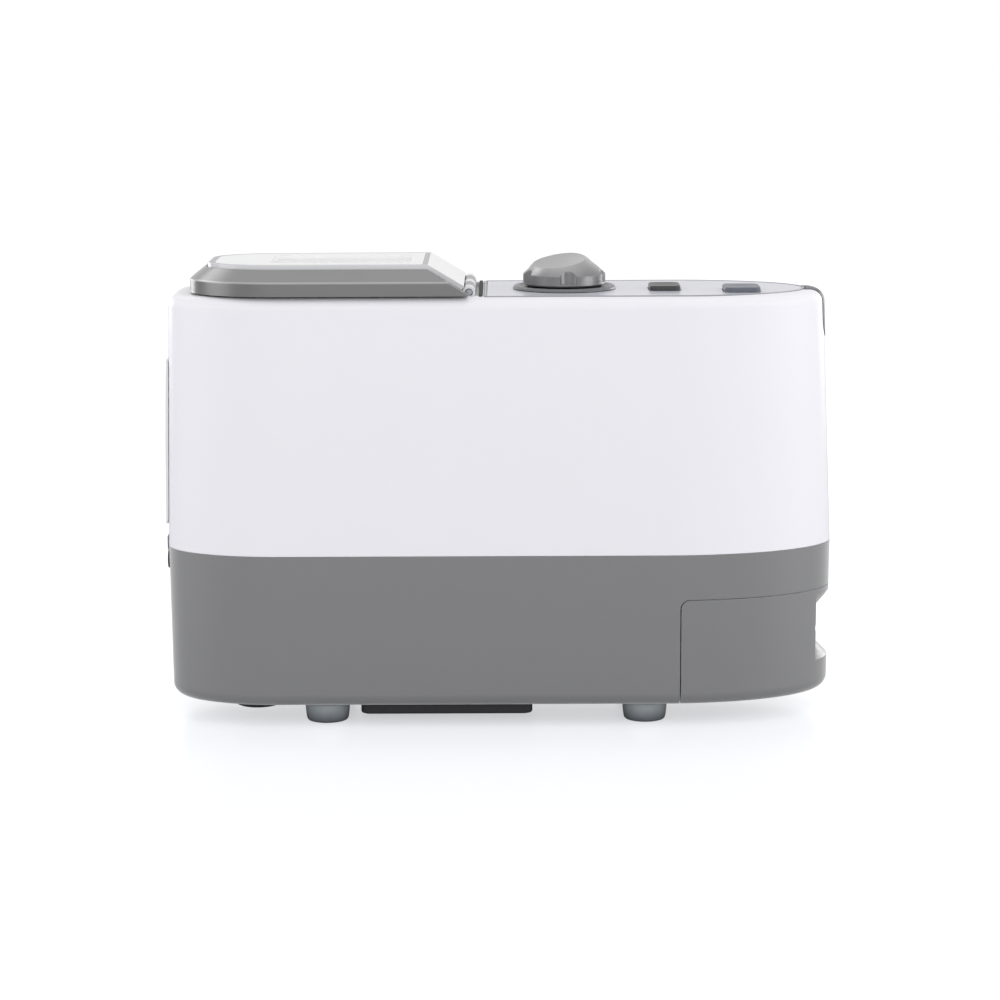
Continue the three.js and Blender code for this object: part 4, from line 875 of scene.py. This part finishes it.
# Clear acrylic over the display: polished, so that it mirrors the room at a low angle, with a
# swell 40 mm wide.
clear_acrylic, tree, shader = finish("clear_polished_acrylic", "#FCFDFD", 0.03, ior=1.49)
shader.inputs["Transmission Weight"].default_value = 1.0
place = add(tree, "ShaderNodeTexCoord").outputs["Object"]
swell = add(tree, "ShaderNodeTexNoise", {"Vector": place, "Scale": 1 / (40 * MM), "Detail": 0.0})
bump = add(tree, "ShaderNodeBump", {"Height": swell.outputs["Fac"], "Distance": 0.01 * MM})
tree.links.new(bump.outputs["Normal"], shader.inputs["Normal"])
pane = prism("display_viewing_pane", rounded_box(VIEW_X, 0, 31.95, 21.95, 1.5), 209.8, 211.18)
smooth(pane, 0)
# The pane throws no shadow, so that light reaches the display evenly through it.
pane.visible_shadow = False
fit(pane, clear_acrylic, "window_acrylic", "display")

# Display glass: pale grey-green polariser film over the liquid crystal, even and slightly
# mirror-like, with a haze 25 mm wide.
display_glass, tree, shader = finish("polariser_on_display_glass", "#F0F1EE", 0.16, ior=1.52)
place = add(tree, "ShaderNodeTexCoord").outputs["Object"]
haze = add(tree, "ShaderNodeTexNoise", {"Vector": place, "Scale": 1 / (25 * MM)})
tint = add(tree, "ShaderNodeMix", {
    "Factor": haze.outputs["Fac"], 6: linear("#EFF0EC"), 7: linear("#F4F5F2")}, data_type="RGBA")
tree.links.new(tint.outputs[2], shader.inputs["Base Color"])
coat(display_glass, "lcd_module")

floor_plate = prism("display_floor", lid_outline(2.2, LID_TIP - 1), LID_LOW, LID_FLOOR)
shape(floor_plate, "INTERSECT", under_top("floor_top", -2.4))
cut(floor_plate, drum("floor_sweep", HINGE_Z, HINGE_X, 3.4, -31.1, 31.1, "y"))
for side in (-1, 1):
    y = side * ARM_Y
    knuckle = drum("knuckle", HINGE_Z, HINGE_X, KNUCKLE, y - ARM_HALF, y + ARM_HALF, "y")
    join(floor_plate, knuckle, arm("arm", side, 0))
cut(floor_plate, drum("pin_bore", HINGE_Z, HINGE_X, PIN + 0.3, -40, 40, "y", 32))
smooth(floor_plate, 0.2)
fit(floor_plate, lid_grey, "lid_grey", "display", "display_back_cover")

# Hinge: three lugs on a bracket, moulded in light grey ABS and screwed into the cover's trough,
# carry a ground steel pin.
bracket = block("hinge_bracket_lugs", HINGE_X - 4.6, HINGE_X + 4.6, -HINGE_HALF_Y, HINGE_HALF_Y,
                193.5, 194.9)
for y0, y1 in ((-HINGE_HALF_Y, -22.4), (-6, 6), (22.4, HINGE_HALF_Y)):
    join(bracket, drum("lug", HINGE_Z, HINGE_X, KNUCKLE, y0, y1, "y"),
         block("web", HINGE_X - KNUCKLE, HINGE_X + KNUCKLE, y0, y1, 194, HINGE_Z))
cut(bracket, drum("lug_bore", HINGE_Z, HINGE_X, PIN + 0.3, -40, 40, "y", 32))
smooth(bracket, 0.2)
fit(bracket, light_grey_abs, "light_grey_abs", "casing", "hinge_bracket")
pin = drum("hinge_steel_pin", HINGE_Z, HINGE_X, PIN, -HINGE_HALF_Y, HINGE_HALF_Y, "y", 32)
smooth(pin, 0.3)
fit(pin, zinc_steel, "zinc_steel", "casing", "hinge_pin")

# Painted shadow: a black rubber strip between hinge and panel, dark where the groove there lies in shade.
groove_shadow_strip = prism("hinge_groove_shadow_strip", rounded_box(-8.7, 0, 0.8, 35.5, 0.79), 196.4, 197.5)
smooth(groove_shadow_strip, 0.2)
fit(groove_shadow_strip, black_rubber, "diaphragm_rubber", "casing")


# Studio: a pale table that runs out of sight under white air, with soft lights above, in front
# and at each end, and rim lights behind that only gleam along the edges. The camera stands at the
# height of a person who sits at the table.
corners = ((-4000, -3000, -1), (4000, -3000, -1), (4000, 5000, -1), (-4000, 5000, -1))
table = solid("studio_table", corners, [(0, 1, 2, 3)])
# The table's paint answers each kind of ray for itself: pale to the eye and as a bounce light, but
# dark in the object's reflections, which gives the upright faces their depth.
paper, tree, shader = finish("pale_studio_table", "#E6E7EA", 0.22, ior=1.45)
output = tree.nodes["Material Output"]
rays = add(tree, "ShaderNodeLightPath")
mirrored = add(tree, "ShaderNodeBsdfPrincipled", {"Base Color": linear("#77787A"), "Roughness": 0.6})
bounced = add(tree, "ShaderNodeMixShader", {
    0: rays.outputs["Is Glossy Ray"], 1: shader.outputs["BSDF"], 2: mirrored.outputs["BSDF"]})
shaded = add(tree, "ShaderNodeBsdfPrincipled", {
    "Base Color": linear("#BFC0C4"), "Roughness": 0.22, "IOR": 1.45})
lift = add(tree, "ShaderNodeEmission", {"Color": (0.97, 0.98, 1.0, 1.0), "Strength": 0.56})
both = add(tree, "ShaderNodeAddShader", {0: shaded.outputs["BSDF"], 1: lift.outputs["Emission"]})
seen = add(tree, "ShaderNodeMixShader", {
    0: rays.outputs["Is Camera Ray"], 1: bounced.outputs["Shader"], 2: both.outputs["Shader"]})
tree.links.new(seen.outputs["Shader"], output.inputs["Surface"])
table.data.materials.append(paper)

# White air: it fills the view behind the table, and lights the object a little less.
world = bpy.data.worlds.new("studio_air")
bpy.context.scene.world = world
world.use_nodes = True
tree = world.node_tree
for old in list(tree.nodes):
    tree.nodes.remove(old)
rays = add(tree, "ShaderNodeLightPath")
seen = add(tree, "ShaderNodeMath", {
    0: rays.outputs["Is Camera Ray"], 1: rays.outputs["Is Transmission Ray"]}, operation="MAXIMUM")
level = add(tree, "ShaderNodeMapRange", {"Value": seen.outputs[0], "To Min": 0.74, "To Max": 1.0})
air = add(tree, "ShaderNodeBackground", {"Color": (1.0, 1.0, 1.0, 1.0), "Strength": level.outputs["Result"]})
add(tree, "ShaderNodeOutputWorld", {"Surface": air.outputs["Background"]})


def soft_light(name, place, aim, size_x, size_y, power, rim=False):
    """A rectangular soft light at a place, turned to its aim, in metres and watts. A rim light only
    shows as a gleam along the edges."""
    lamp = bpy.data.lights.new(name, "AREA")
    lamp.shape = "RECTANGLE"
    lamp.size = size_x
    lamp.size_y = size_y
    lamp.energy = power
    light = bpy.data.objects.new(name, lamp)
    light.visible_camera = False
    light.visible_diffuse = not rim
    light.location = place
    towards = np.subtract(aim, place)
    light.rotation_euler = (math.atan2(math.hypot(towards[0], towards[1]), -towards[2]), 0,
                            math.atan2(towards[1], towards[0]) - math.pi / 2)
    bpy.context.scene.collection.objects.link(light)


soft_light("top_light", (0.0, -0.1, 1.5), (0, 0, 0.1), 1.4, 0.9, 1.8)
soft_light("left_light", (-1.2, -0.4, 0.45), (0, 0, 0.1), 0.8, 0.8, 3)
soft_light("right_light", (1.2, -0.4, 0.45), (0, 0, 0.1), 0.8, 0.8, 4.5)
soft_light("front_light", (0.0, -1.9, 0.7), (0, 0, 0.1), 1.8, 1.0, 5)
soft_light("rear_light", (0.0, 1.6, 0.6), (0, 0, 0.1), 3.0, 1.1, 3, rim=True)
soft_light("rear_left_rim", (-1.3, 1.3, 0.35), (0, 0, 0.1), 0.8, 0.7, 7, rim=True)
soft_light("rear_right_rim", (1.3, 1.3, 0.35), (0, 0, 0.1), 0.8, 0.7, 8, rim=True)
soft_light("upper_rear_left", (-0.75, 0.85, 1.25), (0, 0, 0.15), 0.5, 0.5, 2, rim=True)

lens = bpy.data.cameras.new("eye")
lens.sensor_width = 36
lens.lens = 105.45
camera = bpy.data.objects.new("eye", lens)
camera.location = (0.0013, -1.358, 0.3344)
camera.rotation_euler = (math.radians(90 - 9.861), math.radians(0.225), 0)
bpy.context.scene.collection.objects.link(camera)
bpy.context.scene.camera = camera
bpy.context.scene.view_settings.view_transform = "Standard"
